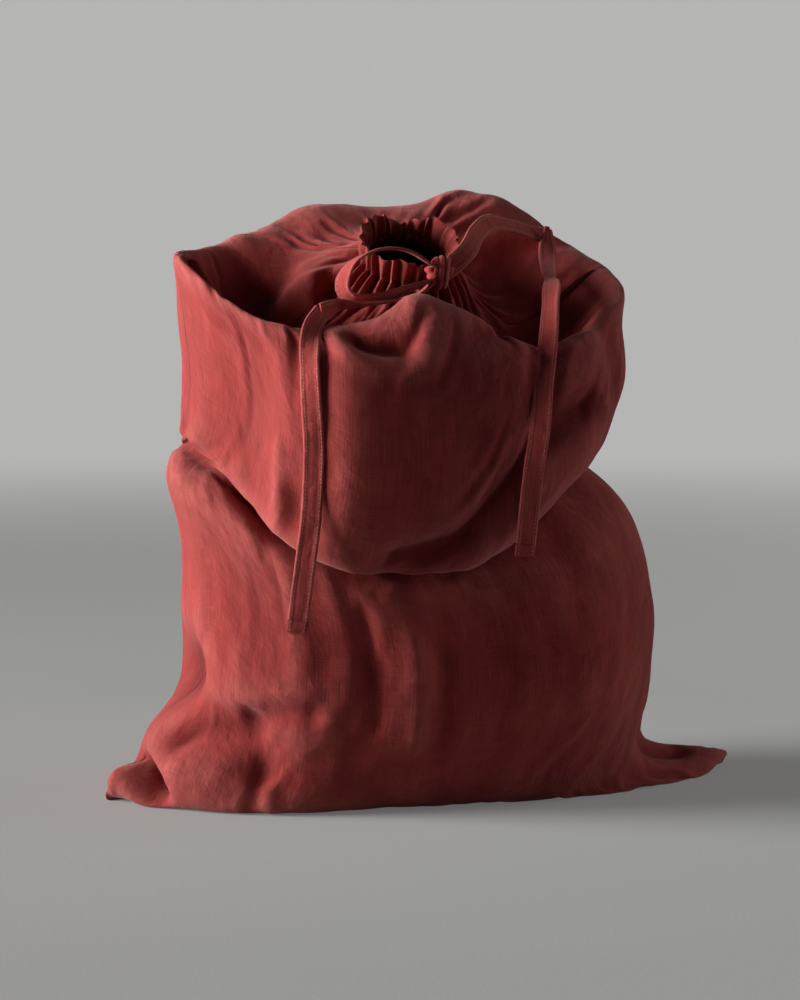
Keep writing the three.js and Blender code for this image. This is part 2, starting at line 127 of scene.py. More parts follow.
def tape_faces(rows, count):
    ring = 2 * count
    last = (rows - 1) * ring
    faces = grid_faces(rows, ring, closed=True)
    for c in range(count - 1):
        faces.append([c, ring - 1 - c, ring - 2 - c, c + 1])
        faces.append([last + c, last + c + 1, last + ring - 2 - c, last + ring - 1 - c])
    return faces


def lay_flat(piece, place_of):
    layer = piece.data.uv_layers.new(name="flat cloth")
    for loop in piece.data.loops:
        layer.data[loop.index].uv = place_of(loop.vertex_index)


def smooth_step(low, high, value):
    share = np.clip((value - low) / (high - low), 0, 1)
    return share * share * (3 - 2 * share)


def curve_between(p0, p1, p2, p3, t):
    return 0.5 * (2 * p1 + (p2 - p0) * t + (2 * p0 - 5 * p1 + 4 * p2 - p3) * t * t
                  + (3 * p1 - 3 * p2 + p3 - p0) * t ** 3)


def mark_crests(piece, values):
    marks = piece.data.attributes.new("crest", "FLOAT", "POINT")
    marks.data.foreach_set("value", np.asarray(values, np.float32).ravel())


def thicken(piece, thickness, offset=-1):
    thicker = piece.modifiers.new("thicker", "SOLIDIFY")
    thicker.thickness = thickness
    thicker.offset = offset


def subdivide(piece):
    smoother = piece.modifiers.new("smoother", "SUBSURF")
    smoother.levels = smoother.render_levels = 1


def bake_modifiers(piece):
    shaped = piece.evaluated_get(bpy.context.evaluated_depsgraph_get())
    mesh = bpy.data.meshes.new_from_object(shaped)
    piece.modifiers.clear()
    piece.data = mesh


print("helpers ready")

# %% [markdown]
# On the real bag the body is two rectangles of linen, half a metre wide, sewn together at
# the sides and the bottom. Stuffed, every level section of it is a rounded rectangle whose
# girth stays the same, because the cloth can't stretch. The sections below are drawn at
# thirteen levels, and the mouth, a tilted ellipse, is the fourteenth ring. A section gives
# how far it reaches left, right, to the front and to the back, its height on those four
# sides, how square it is, and how far its left and right ends lie further back than its
# middle. On the floor only the sewn corners are lifted, so there the height changes sharply.

# %% Level sections of the stuffed bag
sections = [
    # name, left, right, front, back, z left, z front, z right, z back, square, ends further back
    ("bottom seam", 0.230, 0.279, -0.012, 0.012, 0.001, 0.000, 0.001, 0.000, 1.15, -0.017, 0.025),
    ("inner floor", 0.230, 0.276, 0.032, 0.034, 0.019, 0.000, 0.014, 0.000, 1.5, -0.017, 0.014),
    ("outer floor", 0.222, 0.255, 0.067, 0.070, 0.028, 0.000, 0.021, 0.000, 2.1, -0.016, 0.001),
    ("heel", 0.197, 0.196, 0.090, 0.094, 0.046, 0.009, 0.032, 0.010, 2.7, -0.006, -0.001),
    ("belly", 0.172, 0.193, 0.120, 0.117, 0.125, 0.066, 0.094, 0.066, 2.7, 0.0, 0.0),
    ("middle", 0.167, 0.194, 0.121, 0.120, 0.190, 0.120, 0.150, 0.130, 2.6, 0.0, 0.0),
    ("under the fold", 0.181, 0.176, 0.122, 0.120, 0.250, 0.172, 0.221, 0.215, 2.4, 0.0, 0.0),
    ("in the fold", 0.167, 0.125, 0.088, 0.110, 0.270, 0.196, 0.272, 0.262, 2.3, 0.0, 0.0),
    ("lip", 0.172, 0.137, 0.130, 0.112, 0.276, 0.180, 0.287, 0.285, 2.3, 0.0, 0.0),
    ("lobe", 0.170, 0.166, 0.150, 0.112, 0.318, 0.245, 0.318, 0.325, 2.3, 0.0, 0.0),
    ("upper lobe", 0.171, 0.168, 0.130, 0.104, 0.372, 0.330, 0.360, 0.390, 2.3, 0.0, 0.0),
    ("shoulder", 0.160, 0.156, 0.084, 0.078, 0.410, 0.384, 0.388, 0.450, 2.1, 0.0, 0.0),
    ("hollow", 0.070, 0.074, 0.052, 0.034, 0.384, 0.362, 0.372, 0.432, 2.0, 0.0, 0.0),
]
level_of = {section[0]: level for level, section in enumerate(sections)}
mouth_level = len(sections)
mouth_half_width = 0.034
mouth_half_depth = 0.030
mouth_tilt = math.radians(40)
mouth_centre = np.array((0.002, -0.010, 0.408))
floor_clearance = 0.0004


def section_point(section, angle):
    name, left, right, front, back, *heights, square, left_back, right_back = section
    z_left, z_front, z_right, z_back = heights
    across = np.sign(math.cos(angle)) * abs(math.cos(angle)) ** (2 / square)
    deep = np.sign(math.sin(angle)) * abs(math.sin(angle)) ** (2 / square)
    half_width = (left + right) / 2
    half_depth = (front + back) / 2
    ends_back = left_back if across < 0 else right_back
    on_floor = level_of[name] < level_of["heel"]
    sharpness = 30 if on_floor else 8 if name == "heel" else 2
    side = abs(math.cos(angle)) ** sharpness
    z = side * (z_left if across < 0 else z_right) + (1 - side) * (z_front if deep < 0 else z_back)
    return (
        (right - left) / 2 + half_width * across,
        (back - front) / 2 + half_depth * deep + ends_back * across ** 2,
        max(0.0, z - floor_clearance) if on_floor else z,
    )


def mouth_point(angle, out=0.0, height=0.0):
    deep = (mouth_half_depth + out) * math.sin(angle)
    return (
        mouth_centre[0] + (mouth_half_width + out) * math.cos(angle),
        mouth_centre[1] + deep * math.cos(mouth_tilt) - height * math.sin(mouth_tilt),
        mouth_centre[2] + deep * math.sin(mouth_tilt) + height * math.cos(mouth_tilt),
    )


def spaced_evenly(line, count):
    reach = np.concatenate([[0], np.cumsum(np.linalg.norm(np.diff(line, axis=0), axis=1))])
    wanted = np.linspace(0, reach[-1], count)
    return np.stack([np.interp(wanted, reach, line[:, axis]) for axis in range(3)], -1)


columns = 216
half_columns = columns // 2


# Columns start at the left seam, cross the front, pass the right seam at half way and come
# back over the back.
def ring_of(point_at):
    fine = np.linspace(0, math.pi, 361)
    front = spaced_evenly(np.array([point_at(math.pi + turn) for turn in fine]), half_columns + 1)
    back = spaced_evenly(np.array([point_at(2 * math.pi + turn) for turn in fine]), half_columns + 1)
    return np.concatenate([front[:-1], back[:-1]])


rings = np.array([ring_of(lambda angle, s=section: section_point(s, angle)) for section in sections]
                 + [ring_of(mouth_point)])
girths = np.linalg.norm(np.roll(rings, -1, axis=1) - rings, axis=2).sum(axis=1)
print("girths", dict(zip(list(level_of) + ["mouth"], girths.round(3).tolist())))

# %% [markdown]
# The shoulder is no regular ring. The cloth stands up in a few large ridges, sinks into
# hollows between them and rises again to the neck. So its crest and the hollow inside the
# crest are each walked around the bag as a closed line. The walk gives the direction seen
# from above (0 right, 90 back, 180 left, 270 front) and the place, left to right, front to
# back and up, in millimetres.

# %% Crest of the shoulder and the hollow inside it
crest_line = [
    (0, 163, 0, 405), (15, 150, 28, 419), (30, 126, 49, 441), (45, 99, 63, 461),
    (60, 69, 73, 469), (67, 52, 76, 468), (75, 36, 78, 458), (82, 18, 79, 451),
    (90, 1, 79, 450), (105, -32, 79, 456), (120, -66, 75, 453), (135, -96, 66, 436),
    (150, -124, 51, 427), (163, -147, 34, 422), (172, -161, 16, 417), (180, -170, -4, 411),
    (188, -168, -26, 403), (196, -160, -46, 391), (204, -149, -64, 379), (212, -136, -77, 369),
    (220, -121, -88, 363), (229, -103, -95, 361), (239, -82, -100, 360), (247, -62, -102, 361),
    (254, -44, -102, 366), (260, -32, -102, 373), (267, -18, -103, 378), (274, -3, -103, 380),
    (282, 13, -102, 379), (291, 35, -102, 370), (300, 57, -101, 352), (310, 80, -98, 339),
    (320, 102, -87, 346), (330, 130, -71, 362), (340, 155, -51, 379), (350, 166, -27, 393),
]
hollow_line = [
    (0, 90, -8, 358), (15, 76, 6, 380), (30, 61, 16, 398), (45, 51, 23, 415),
    (60, 38, 29, 425), (75, 23, 32, 430), (90, 5, 35, 432), (105, -13, 36, 432),
    (120, -32, 33, 428), (135, -48, 28, 420), (150, -64, 22, 418), (160, -77, 13, 410),
    (170, -90, 2, 390), (180, -97, -13, 364), (190, -98, -27, 348), (202, -92, -40, 343),
    (214, -79, -50, 343), (226, -60, -58, 346), (238, -43, -63, 352), (248, -30, -67, 360),
    (257, -16, -70, 362), (267, -2, -68, 366), (278, 10, -63, 360), (288, 22, -57, 340),
    (298, 33, -52, 315), (312, 49, -48, 301), (325, 68, -42, 301), (338, 84, -34, 310),
    (350, 92, -22, 332),
]


def ring_through(places):
    given = np.array(places, float)
    given = np.vstack([given - (360, 0, 0, 0), given, given + (360, 0, 0, 0)])
    wanted = (180 + 360 * np.arange(columns) / columns) % 360
    ring = np.stack([np.interp(wanted, given[:, 0], given[:, axis]) for axis in (1, 2, 3)], -1) / 1000
    window = np.array([1, 3, 5, 6, 5, 3, 1]) / 24
    reach = np.arange(-3, 4)
    return sum(weight * np.roll(ring, shift, axis=0) for weight, shift in zip(window, reach))


rings[level_of["shoulder"]] = ring_through(crest_line)
rings[level_of["hollow"]] = ring_through(hollow_line)
crest_heights = [place[3] for place in crest_line]
print("crest from", max(crest_heights), "down to", min(crest_heights), "mm high")

# %% [markdown]
# The ribbons come before the cloth, because the cloth lies under them. Each route is a few
# places in metres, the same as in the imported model: the left tie leaves the knot, turns over
# the front and hangs down; the right one runs along the shoulder first, on edge, and then
# falls over the front.

# %% Routes of the ribbons
knot_centre = np.array((0.018, -0.0565, 0.398))
left_route = [
    (0.0155, -0.0569, 0.3933), (0, -0.059, 0.3815), (-0.020, -0.063, 0.3775), (-0.042, -0.071, 0.375),
    (-0.062, -0.081, 0.3735), (-0.078, -0.093, 0.3685), (-0.086, -0.103, 0.358), (-0.090, -0.114, 0.342),
    (-0.0915, -0.1285, 0.307), (-0.091, -0.1365, 0.275), (-0.092, -0.1385, 0.250), (-0.094, -0.139, 0.222),
    (-0.098, -0.138, 0.190), (-0.103, -0.137, 0.152),
]
left_turn = 5
right_strap_route = [
    (0.0225, -0.0577, 0.3997), (0.041, -0.049, 0.415), (0.054, -0.027, 0.429), (0.072, 0, 0.438),
    (0.094, 0.017, 0.436), (0.114, 0.026, 0.431), (0.130, 0.030, 0.428),
]
right_tie_route = [
    (0.123, 0.023, 0.436), (0.122, 0.019, 0.424), (0.119, 0.004, 0.408), (0.113, -0.022, 0.396),
    (0.106, -0.051, 0.3915), (0.101, -0.0685, 0.386), (0.095, -0.087, 0.369), (0.089, -0.103, 0.348),
    (0.080, -0.123, 0.318), (0.074, -0.1375, 0.289), (0.068, -0.1445, 0.262), (0.064, -0.147, 0.235),
    (0.061, -0.147, 0.204),
]
loop_length = 0.077
loop_height = 0.040
loop_forward_at_knot = 0.004
loop_forward_at_end = 0.012
loop_droop = math.radians(9)
loop_outline = [(0.06, 0.16), (0.30, 0.50), (0.58, 0.60), (0.86, 0.44), (0.99, 0.06), (0.90, -0.22),
                (0.64, -0.27), (0.36, -0.20), (0.09, -0.10)]


def loop_place(along, up):
    x, z = -along * loop_length, up * loop_height
    forward = loop_forward_at_knot + (loop_forward_at_end - loop_forward_at_knot) * along
    return (
        knot_centre[0] + x * math.cos(loop_droop) - z * math.sin(loop_droop),
        knot_centre[1] - forward,
        knot_centre[2] + x * math.sin(loop_droop) + z * math.cos(loop_droop),
    )


def smooth_route(points, step=0.0022):
    given = np.array(points, float)
    extended = np.vstack([2 * given[0] - given[1], given, 2 * given[-1] - given[-2]])
    fine = []
    for p0, p1, p2, p3 in zip(extended, extended[1:], extended[2:], extended[3:]):
        fine.append(curve_between(p0, p1, p2, p3, np.linspace(0, 1, 24, endpoint=False)[:, None]))
    line = np.vstack(fine + [given[-1:]])
    reach = np.linalg.norm(np.diff(line, axis=0), axis=1).sum()
    return spaced_evenly(line, max(8, round(reach / step)))


print("left tie", len(left_route), "places, right tie", len(right_tie_route), "places")

# %% [markdown]
# Between the sections the cloth runs on smooth curves. Three kinds of shape are then pressed
# into it: broad swells, which belong to how the bag is stuffed, narrow folds along a line,
# and the pleats that the drawstring makes. All are given by their direction and how far up
# the bag they lie, so that they can be read off a picture of the bag.

# %% Swells of the body
swells = [
    # direction, level, out, up, spread in degrees, spread in levels
    (205, 9.0, -0.028, 0.000, 20, 1.6),
    (247, 9.0, 0.006, 0.000, 10, 1.5),
    (180, 10.1, 0.003, 0.013, 18, 0.8),
    (286, 9.0, -0.003, 0.000, 20, 1.5),
    (212, 4.9, -0.009, 0.000, 18, 1.4),
    (234, 4.9, 0.006, 0.000, 10, 1.4),
    (246, 4.9, -0.003, 0.000, 8, 1.4),
    (258, 4.9, 0.004, 0.000, 9, 1.4),
    (305, 7.0, 0.018, 0.000, 22, 0.6),
    (182, 3.66, -0.030, 0.000, 16, 0.34),
    (180, 3.12, 0.003, 0.002, 12, 0.26),
    (188, 2.42, -0.034, 0.000, 9, 0.28),
    (222, 3.40, -0.012, 0.000, 16, 0.35),
    (236, 2.80, 0.008, 0.000, 20, 0.45),
    (194, 11.5, 0.004, -0.014, 20, 0.35),
    (168, 11.6, 0.000, -0.038, 17, 0.40),
]


def ring_between(level):
    low = min(int(level), len(rings) - 2)
    p0, p1 = rings[max(low - 1, 0)], rings[low]
    p2, p3 = rings[low + 1], rings[min(low + 2, len(rings) - 1)]
    return curve_between(p0, p1, p2, p3, level - low)


steps_per_level = 14
direction = 180 + 360 * np.arange(columns) / columns
levels = np.linspace(0, mouth_level, mouth_level * steps_per_level + 1)
surface = np.array([ring_between(level) for level in levels])


def turn_between(first, second):
    return (first - second + 180) % 360 - 180


for centre, level, out, up, spread, reach in swells:
    near = (np.exp(-(turn_between(direction, centre) / spread) ** 2)[None, :]
            * np.exp(-((levels - level) / reach) ** 2)[:, None])[..., None]
    outward = surface - surface.mean(axis=1, keepdims=True)
    outward[..., 2] = 0
    outward /= np.maximum(np.linalg.norm(outward, axis=2, keepdims=True), 1e-9)
    surface = surface + outward * out * near + np.array((0, 0, up)) * near

cloth_rows = 113
grid = np.stack([spaced_evenly(surface[:, column], cloth_rows) for column in range(columns)], axis=1)
front_line = grid[:, half_columns // 2]
front_length = float(np.linalg.norm(np.diff(front_line, axis=0), axis=1).sum())
print("cloth grid", grid.shape, "seam to gathers", round(front_length, 3), "m at the front")

# %% [markdown]
# Narrow folds are ridges and valleys along a short line. A line is a few places on the
# cloth: the direction, and the share of the way from the bottom seam to the gathers. The
# push fades out with the distance from the line, measured on the flat cloth, and with the
# ends of the line.

# %% Folds along lines
flat_girth = 1.0
flat_height = 0.67
up_the_bag = np.linspace(0, 1, cloth_rows)
folds = [
    # name, places, push out, half width
    ("crease under the lobe", [(262, 0.578), (272, 0.586), (284, 0.603), (290, 0.632), (298, 0.653),
                               (306, 0.662), (316, 0.655)], -0.014, 0.011),
    ("roll under that crease", [(286, 0.560), (298, 0.590), (312, 0.600), (326, 0.590)], 0.006, 0.018),
    ("edge of the lobe at the left", [(206, 0.560), (226, 0.570), (246, 0.572), (262, 0.566)], 0.003, 0.008),
    ("pocket beside the knot", [(251, 0.828), (257, 0.819), (263, 0.813)], -0.013, 0.009),
    ("lip of the pocket", [(246, 0.806), (256, 0.792), (264, 0.790), (270, 0.806), (273, 0.832)],
     0.004, 0.008),
    ("bulge before the knot", [(270, 0.800), (271, 0.850), (272, 0.880)], 0.004, 0.022),
    ("crease right of the bulge", [(286, 0.800), (294, 0.778), (300, 0.790)], -0.006, 0.008),
    ("ridge at the left", [(225, 0.650), (227, 0.610), (230, 0.578)], 0.004, 0.008),
    ("dent beside the ridge", [(233, 0.620), (235, 0.598)], -0.005, 0.009),
    ("crease down the right shoulder", [(329, 0.800), (328, 0.730), (331, 0.660)], -0.004, 0.010),
    ("fold from the neck to the left", [(160, 0.930), (156, 0.880), (150, 0.830)], 0.004, 0.014),
    ("hollow behind that fold", [(184, 0.900), (178, 0.860), (172, 0.830)], -0.006, 0.014),
    ("lobe beside the mouth", [(170, 0.935), (171, 0.905), (174, 0.885)], 0.009, 0.013),
    ("pocket beside that lobe", [(178, 0.950), (188, 0.945), (198, 0.940)], -0.009, 0.008),
    ("pocket in the right corner", [(341, 0.186), (349, 0.160), (354, 0.135), (356, 0.112)], -0.008, 0.008),
    ("lip of that corner", [(347, 0.178), (353, 0.158), (358, 0.135)], 0.004, 0.007),
    ("hollow above the left corner", [(198, 0.170), (207, 0.203), (216, 0.230)], -0.009, 0.013),
    ("ridge under that hollow", [(200, 0.128), (212, 0.158), (226, 0.172)], 0.005, 0.010),
    ("crease out of that hollow", [(217, 0.240), (227, 0.268), (236, 0.275)], -0.006, 0.008),
    ("crease down to the floor", [(222, 0.195), (226, 0.150)], -0.004, 0.008),
    ("drag at the left", [(236, 0.410), (238, 0.330)], -0.003, 0.007),
    ("drag beside it", [(244, 0.430), (245, 0.300)], 0.003, 0.008),
    ("drag left of the middle", [(252, 0.390), (253, 0.270)], -0.003, 0.007),
    ("drag in the middle", [(262, 0.370), (263, 0.250)], 0.003, 0.008),
    ("drag right of the middle", [(270, 0.350), (270, 0.240)], -0.003, 0.008),
]


def surface_normals(grid):
    around = np.roll(grid, -1, axis=1) - np.roll(grid, 1, axis=1)
    upward = np.gradient(grid, axis=0)
    normals = np.cross(around, upward)
    return normals / np.maximum(np.linalg.norm(normals, axis=2, keepdims=True), 1e-9)


def distance_to_line(places):
    points = np.array([((turn % 360) / 360 * flat_girth, up * flat_height) for turn, up in places])
    here = np.stack(np.meshgrid((direction % 360) / 360 * flat_girth, up_the_bag * flat_height), axis=-1)
    nearest = np.full(here.shape[:2], 1e9)
    for start, stop in zip(points[:-1], points[1:]):
        along = stop - start
        share = np.clip(((here - start) @ along) / (along @ along), 0, 1)[..., None]
        nearest = np.minimum(nearest, np.linalg.norm(here - start - share * along, axis=2))
    return nearest


for name, places, push, half_width in folds:
    weight = np.exp(-(distance_to_line(places) / half_width) ** 2)
    grid = grid + surface_normals(grid) * (push * weight)[..., None]
print(len(folds), "folds pressed in")

# %% [markdown]
# A packed bag is never smooth. The laundry behind the cloth dents it in patches that are
# longer than they are wide, because the weight drags them downwards. They are strongest on
# the lower half, where the load sits.

# %% Dents from what lies inside
dent_depth = 0.0024
flat_radius = flat_girth / (2 * math.pi)


turning = np.radians(direction)


def dents_at(across, upward, seed):
    size = flat_radius * across
    return np.array([
        [noise.noise(Vector((math.cos(turn) * size, math.sin(turn) * size, row * upward + seed)))
         for turn in turning]
        for row in np.linspace(0, flat_height, cloth_rows)])


rough = dents_at(34, 13, 2.0) + 0.5 * dents_at(75, 34, 8.0)
dented = np.interp(up_the_bag, [0, 0.10, 0.25, 0.52, 0.60, 0.80, 0.90, 1],
                   [0, 0.6, 1, 1, 0.45, 0.5, 0.3, 0])
grid = grid + surface_normals(grid) * (dent_depth * rough * dented[:, None])[..., None]
print("dents up to", round(float(np.abs(rough * dented[:, None]).max() * dent_depth) * 1000, 1), "mm")

# %% [markdown]
# Where the string draws the mouth in, a metre of cloth has to fit into a girth of twenty
# centimetres. Next to the string it does so in many small pleats. Further out, pairs of
# pleats run together, and on the shoulder only a few soft folds are left. The depth of a
# fold follows from the spare cloth: a wave that is `spare` times longer than its span has
# an amplitude near `span * sqrt(spare) / pi`.

# %% Pleats towards the mouth
girth = np.linalg.norm(np.roll(grid, -1, axis=1) - grid, axis=2).sum(axis=1)
spare = np.clip(flat_girth / girth - 1, 0, None)


def uneven_wave(turning, count, seed):
    drift = 0.7 * np.sin(3 * turning + 0.4 * seed) + 0.5 * np.sin(5 * turning + 1.9 * seed)
    drift += 0.35 * np.sin(8 * turning + seed)
    strength = 0.72 + 0.28 * np.sin(4 * turning + 2.3 * seed) * np.cos(7 * turning + 0.6 * seed)
    return np.cos(count * turning + drift) * strength


pleats = 25
never = 9.0
pleat_rows = [
    # how many, where they start, where they are full, where they fade, deepest
    (9, 0.83, 0.91, 0.975, 0.0042),
    (pleats, 0.925, 0.985, never, 0.0070),
]
normals = surface_normals(grid)
relief = np.zeros(grid.shape[:2])
smoother_there = np.interp(direction % 360, [0, 60, 100, 120, 160, 185, 210, 360],
                           [0.2, 0, 0.3, 0.7, 0.75, 0.4, 0, 0.2])
calm = 1 - smoother_there[None, :] * (1 - smooth_step(0.93, 0.985, up_the_bag))[:, None]
for count, start, full, fade, deepest in pleat_rows:
    amplitude = np.minimum(girth / count * np.sqrt(spare) / math.pi, deepest)
    fading = 1 - smooth_step(fade - 0.05, fade + 0.03, up_the_bag)
    amplitude *= smooth_step(start, full, up_the_bag) * fading
    relief += calm * amplitude[:, None] * uneven_wave(turning, count, count / 7)[None, :]
    rim_depth = float(amplitude[-1])
grid = grid + normals * relief[..., None]
deepest_pleat = float(np.abs(relief).max())
print("pleats up to", round(deepest_pleat * 1000, 1), "mm deep,", round(rim_depth * 1000, 1), "at the rim")

# %% [markdown]
# The cloth gives way where a ribbon lies on it. Every point under a ribbon is pressed in
# until it is clear of it, and the dent fades out beside the ribbon.

# %% Room under the ribbons
def make_room(points, normals, line, clear=0.0026, half_width=0.0085, fade=0.010):
    flat_points = points.reshape(-1, 3)
    flat_normals = normals.reshape(-1, 3)
    best = np.full(len(flat_points), 1e9)
    above = np.zeros(len(flat_points))
    aside = np.full(len(flat_points), 1e9)
    for place in line:
        gap = place - flat_points
        height = (gap * flat_normals).sum(axis=1)
        beside = np.sqrt(np.maximum((gap ** 2).sum(axis=1) - height ** 2, 0))
        score = beside + 0.5 * np.abs(height)
        nearer = score < best
        best[nearer] = score[nearer]
        above[nearer] = height[nearer]
        aside[nearer] = beside[nearer]
    missing = np.clip(clear - above, 0, 0.012) * (above > -0.025)
    share = 1 - smooth_step(half_width, half_width + fade, aside)
    return (flat_points - flat_normals * (missing * share)[:, None]).reshape(points.shape)


tie_lines = [smooth_route(route) for route in (left_route, right_strap_route, right_tie_route)]
before = grid.copy()
for line in tie_lines:
    grid = make_room(grid, surface_normals(grid), line)
print("pressed in by up to", round(float(np.linalg.norm(grid - before, axis=2).max()) * 1000, 1), "mm")

# %% [markdown]
# Now the grid becomes cloth. The mesh starts in the shape above, and its springs take their
# lengths from a second shape, the flat pattern: two rectangles with common side seams and a
# common bottom seam. Where the shape is tighter than the pattern the solver has to fold the
# spare cloth, and that gives the small drags and puckers that no formula gives. A soft pin
# on every point stands for the laundry inside, which holds the cloth out.

# %% The cloth mesh and its flat pattern
row_index = np.arange(cloth_rows)
to_the_right = np.arange(half_columns)
share_across = np.concatenate([to_the_right, half_columns - to_the_right]) / half_columns
pattern = np.zeros_like(grid)
pattern[..., 0] = (share_across - 0.5) * flat_girth / 2
pattern[..., 2] = (row_index / (cloth_rows - 1) * flat_height)[:, None]
sheet_gap = 0.0005
pattern[:, 1:half_columns, 1] = -sheet_gap
pattern[:, half_columns + 1:, 1] = sheet_gap

number = np.arange(cloth_rows * columns).reshape(cloth_rows, columns)
opposite = (columns - np.arange(columns)) % columns
number[0, half_columns + 1:] = number[0, opposite[half_columns + 1:]]
kept = np.unique(number)
renumbered = np.full(cloth_rows * columns, -1)
renumbered[kept] = np.arange(len(kept))
number = renumbered[number]
start_points = grid.reshape(-1, 3)[kept]
pattern_points = pattern.reshape(-1, 3)[kept]
row_of_point = kept // columns


def cloth_faces(first_column, last_column):
    faces = []
    for row in range(cloth_rows - 1):
        for column in range(first_column, last_column):
            after = (column + 1) % columns
            low, high = number[row], number[row + 1]
            corners = (low[column], low[after], high[after], high[column])
            face = list(dict.fromkeys(int(corner) for corner in corners))
            if len(face) > 2:
                faces.append(face)
    return faces


cloth = make_piece("cloth", start_points, cloth_faces(0, columns))
print("cloth mesh", len(cloth.data.vertices), "points")

# %% [markdown]
# The solver runs for twelve frames without gravity. That is long enough for the springs to
# settle and short enough for the layout to stay. Nothing may sink into the floor.

# %% Simulate
simulated_frames = 12
cloth.shape_key_add(name="start")
flat_key = cloth.shape_key_add(name="flat pattern")
flat_key.data.foreach_set("co", pattern_points.astype(np.float32).ravel())
pins = cloth.vertex_groups.new(name="held by the laundry")
held_at_seam = 0.9
held_inside = 0.35
for point, row in enumerate(row_of_point.tolist()):
    held = 1.0 if row >= cloth_rows - 3 else held_at_seam if row < 2 else held_inside
    pins.add([point], held, "REPLACE")


def simulate(piece):
    solver = piece.modifiers.new("linen", "CLOTH")
    settings = solver.settings
    settings.quality = 6
    settings.mass = 0.02
    settings.air_damping = 4
    settings.tension_stiffness = 20
    settings.compression_stiffness = 20
    settings.shear_stiffness = 6
    settings.bending_stiffness = 0.02
    settings.vertex_group_mass = pins.name
    settings.pin_stiffness = 2.5
    settings.rest_shape_key = flat_key
    settings.effector_weights.gravity = 0
    solver.collision_settings.use_self_collision = True
    solver.collision_settings.self_distance_min = 0.0025
    solver.collision_settings.use_collision = False
    solver.point_cache.frame_start = 1
    solver.point_cache.frame_end = simulated_frames
    for frame_number in range(1, simulated_frames + 1):
        bpy.context.scene.frame_set(frame_number)
    shaped = piece.evaluated_get(bpy.context.evaluated_depsgraph_get())
    points = np.empty(len(piece.data.vertices) * 3, np.float32)
    shaped.data.vertices.foreach_get("co", points)
    return points.reshape(-1, 3).astype(float)


cloth_points = simulate(cloth)
cloth_points[:, 2] = np.maximum(cloth_points[:, 2], floor_clearance)
bpy.data.objects.remove(cloth)
bpy.context.scene.frame_set(1)
print("cloth moved", round(float(np.linalg.norm(cloth_points - start_points, axis=1).mean()) * 1000, 2),
      "mm on average")

# %% [markdown]
# Cloth is made paler where it stands out, partly as rubbed wear and partly as painted highlight,
# and darker in the folds as painted shade. So every point is given a number from -1 in a sharp
# valley to 1 on a sharp crest. It comes from how much the cloth bends there, measured close by
# and again a little further away.

# %% Crests and valleys: wear, painted highlight and painted shade
cloth_surface = cloth_points[number]
cloth_normals = surface_normals(cloth_surface)


def bending(points, normals, reach):
    pairs = [
        (np.roll(points, reach, axis=1), np.roll(points, -reach, axis=1)),
        (points[np.maximum(row_index - reach, 0)], points[np.minimum(row_index + reach, cloth_rows - 1)]),
    ]
    total = 0
    for before, after in pairs:
        middle = (before + after) / 2 - points
        half_span = np.linalg.norm(after - before, axis=2) / 2
        total = total - 2 * (middle * normals).sum(axis=2) / np.maximum(half_span, 0.0015) ** 2
    total[:reach] = total[reach]
    total[-reach:] = total[-reach - 1]
    return total


crests = 0.5 * np.tanh(bending(cloth_surface, cloth_normals, 1) / 90)
crests += 0.5 * np.tanh(bending(cloth_surface, cloth_normals, 4) / 40)
for _ in range(2):
    crests = (2 * crests + np.roll(crests, 1, axis=1) + np.roll(crests, -1, axis=1)) / 4
    crests[1:-1] = (2 * crests[1:-1] + crests[2:] + crests[:-2]) / 4
crest_of_point = np.zeros(len(cloth_points))
crest_of_point[number.ravel()] = crests.ravel()
print("crests from", round(float(crests.min()), 2), "to", round(float(crests.max()), 2))

# %% [markdown]
# The one simulated sheet is cut back into the two panels that were sewn together. Each gets
# a smooth subdivision and a millimetre of thickness towards the inside, so that the cloth
# has an edge and an inner face where the mouth shows it. A second set of coordinates keeps
# where each point lay on the flat cloth, in metres, for the weave and the dye.

# %% The two panels
cloth_thickness = 0.0011


def flat_place(point, on_back):
    row, column = divmod(int(kept[point]), columns)
    if on_back and (row == 0 or column == 0):
        column = columns - column
    return column / columns * flat_girth, row / (cloth_rows - 1) * flat_height


def make_panel(name, first_column, last_column):
    faces = cloth_faces(first_column, last_column)
    used = sorted({corner for face in faces for corner in face})
    place = {corner: index for index, corner in enumerate(used)}
    panel = make_piece(name, cloth_points[used], [[place[corner] for corner in face] for face in faces])
    # The crest number darkens the folds as painted shade and pales the crests, partly as wear and partly as
    # painted highlight.
    mark_crests(panel, crest_of_point[used])
    lay_flat(panel, lambda index: flat_place(used[index], first_column > 0))
    subdivide(panel)
    thicken(panel, cloth_thickness)
    bake_modifiers(panel)
    print(name, len(panel.data.vertices), "points")
    return panel


front_panel = make_panel("linen_front", 0, half_columns)
back_panel = make_panel("linen_back", half_columns, columns)
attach(front_panel, "bag")
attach(back_panel, "bag")
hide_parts("front_panel", "left_side_seam", "right_side_seam", "bottom_seam")
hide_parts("back_panel")
for panel in (front_panel, back_panel):
    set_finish(panel, "linen")

# %% [markdown]
# The edge of the mouth is a casing: the cloth is turned over to the inside and stitched
# down, and the drawstring runs in the channel between the two layers. The pleats go on into
# it at their full depth and open a little at the top, where nothing pulls them in. At the
# front there is a slit in the outer layer, where both ends of the ribbon come out.

# %% The hem casing around the mouth
casing_height = 0.022
casing_thickness = 0.0009
casing_flare = 0.0035
channel_depth = 0.0034
stitch_height = 0.003
casing_slit = 312
slit_half = 7.0
casing_refinement = 3
mouth_up = np.array((0, -math.sin(mouth_tilt), math.cos(mouth_tilt)))
rim_points = cloth_points[number[-1]]
rim_base = rings[mouth_level]


def refined(ring):
    fine = np.arange(columns * casing_refinement) / casing_refinement
    low = fine.astype(int)
    part = (fine - low)[:, None]
    before, here = ring[(low - 1) % columns], ring[low]
    after, beyond = ring[(low + 1) % columns], ring[(low + 2) % columns]
    return curve_between(before, here, after, beyond, part)


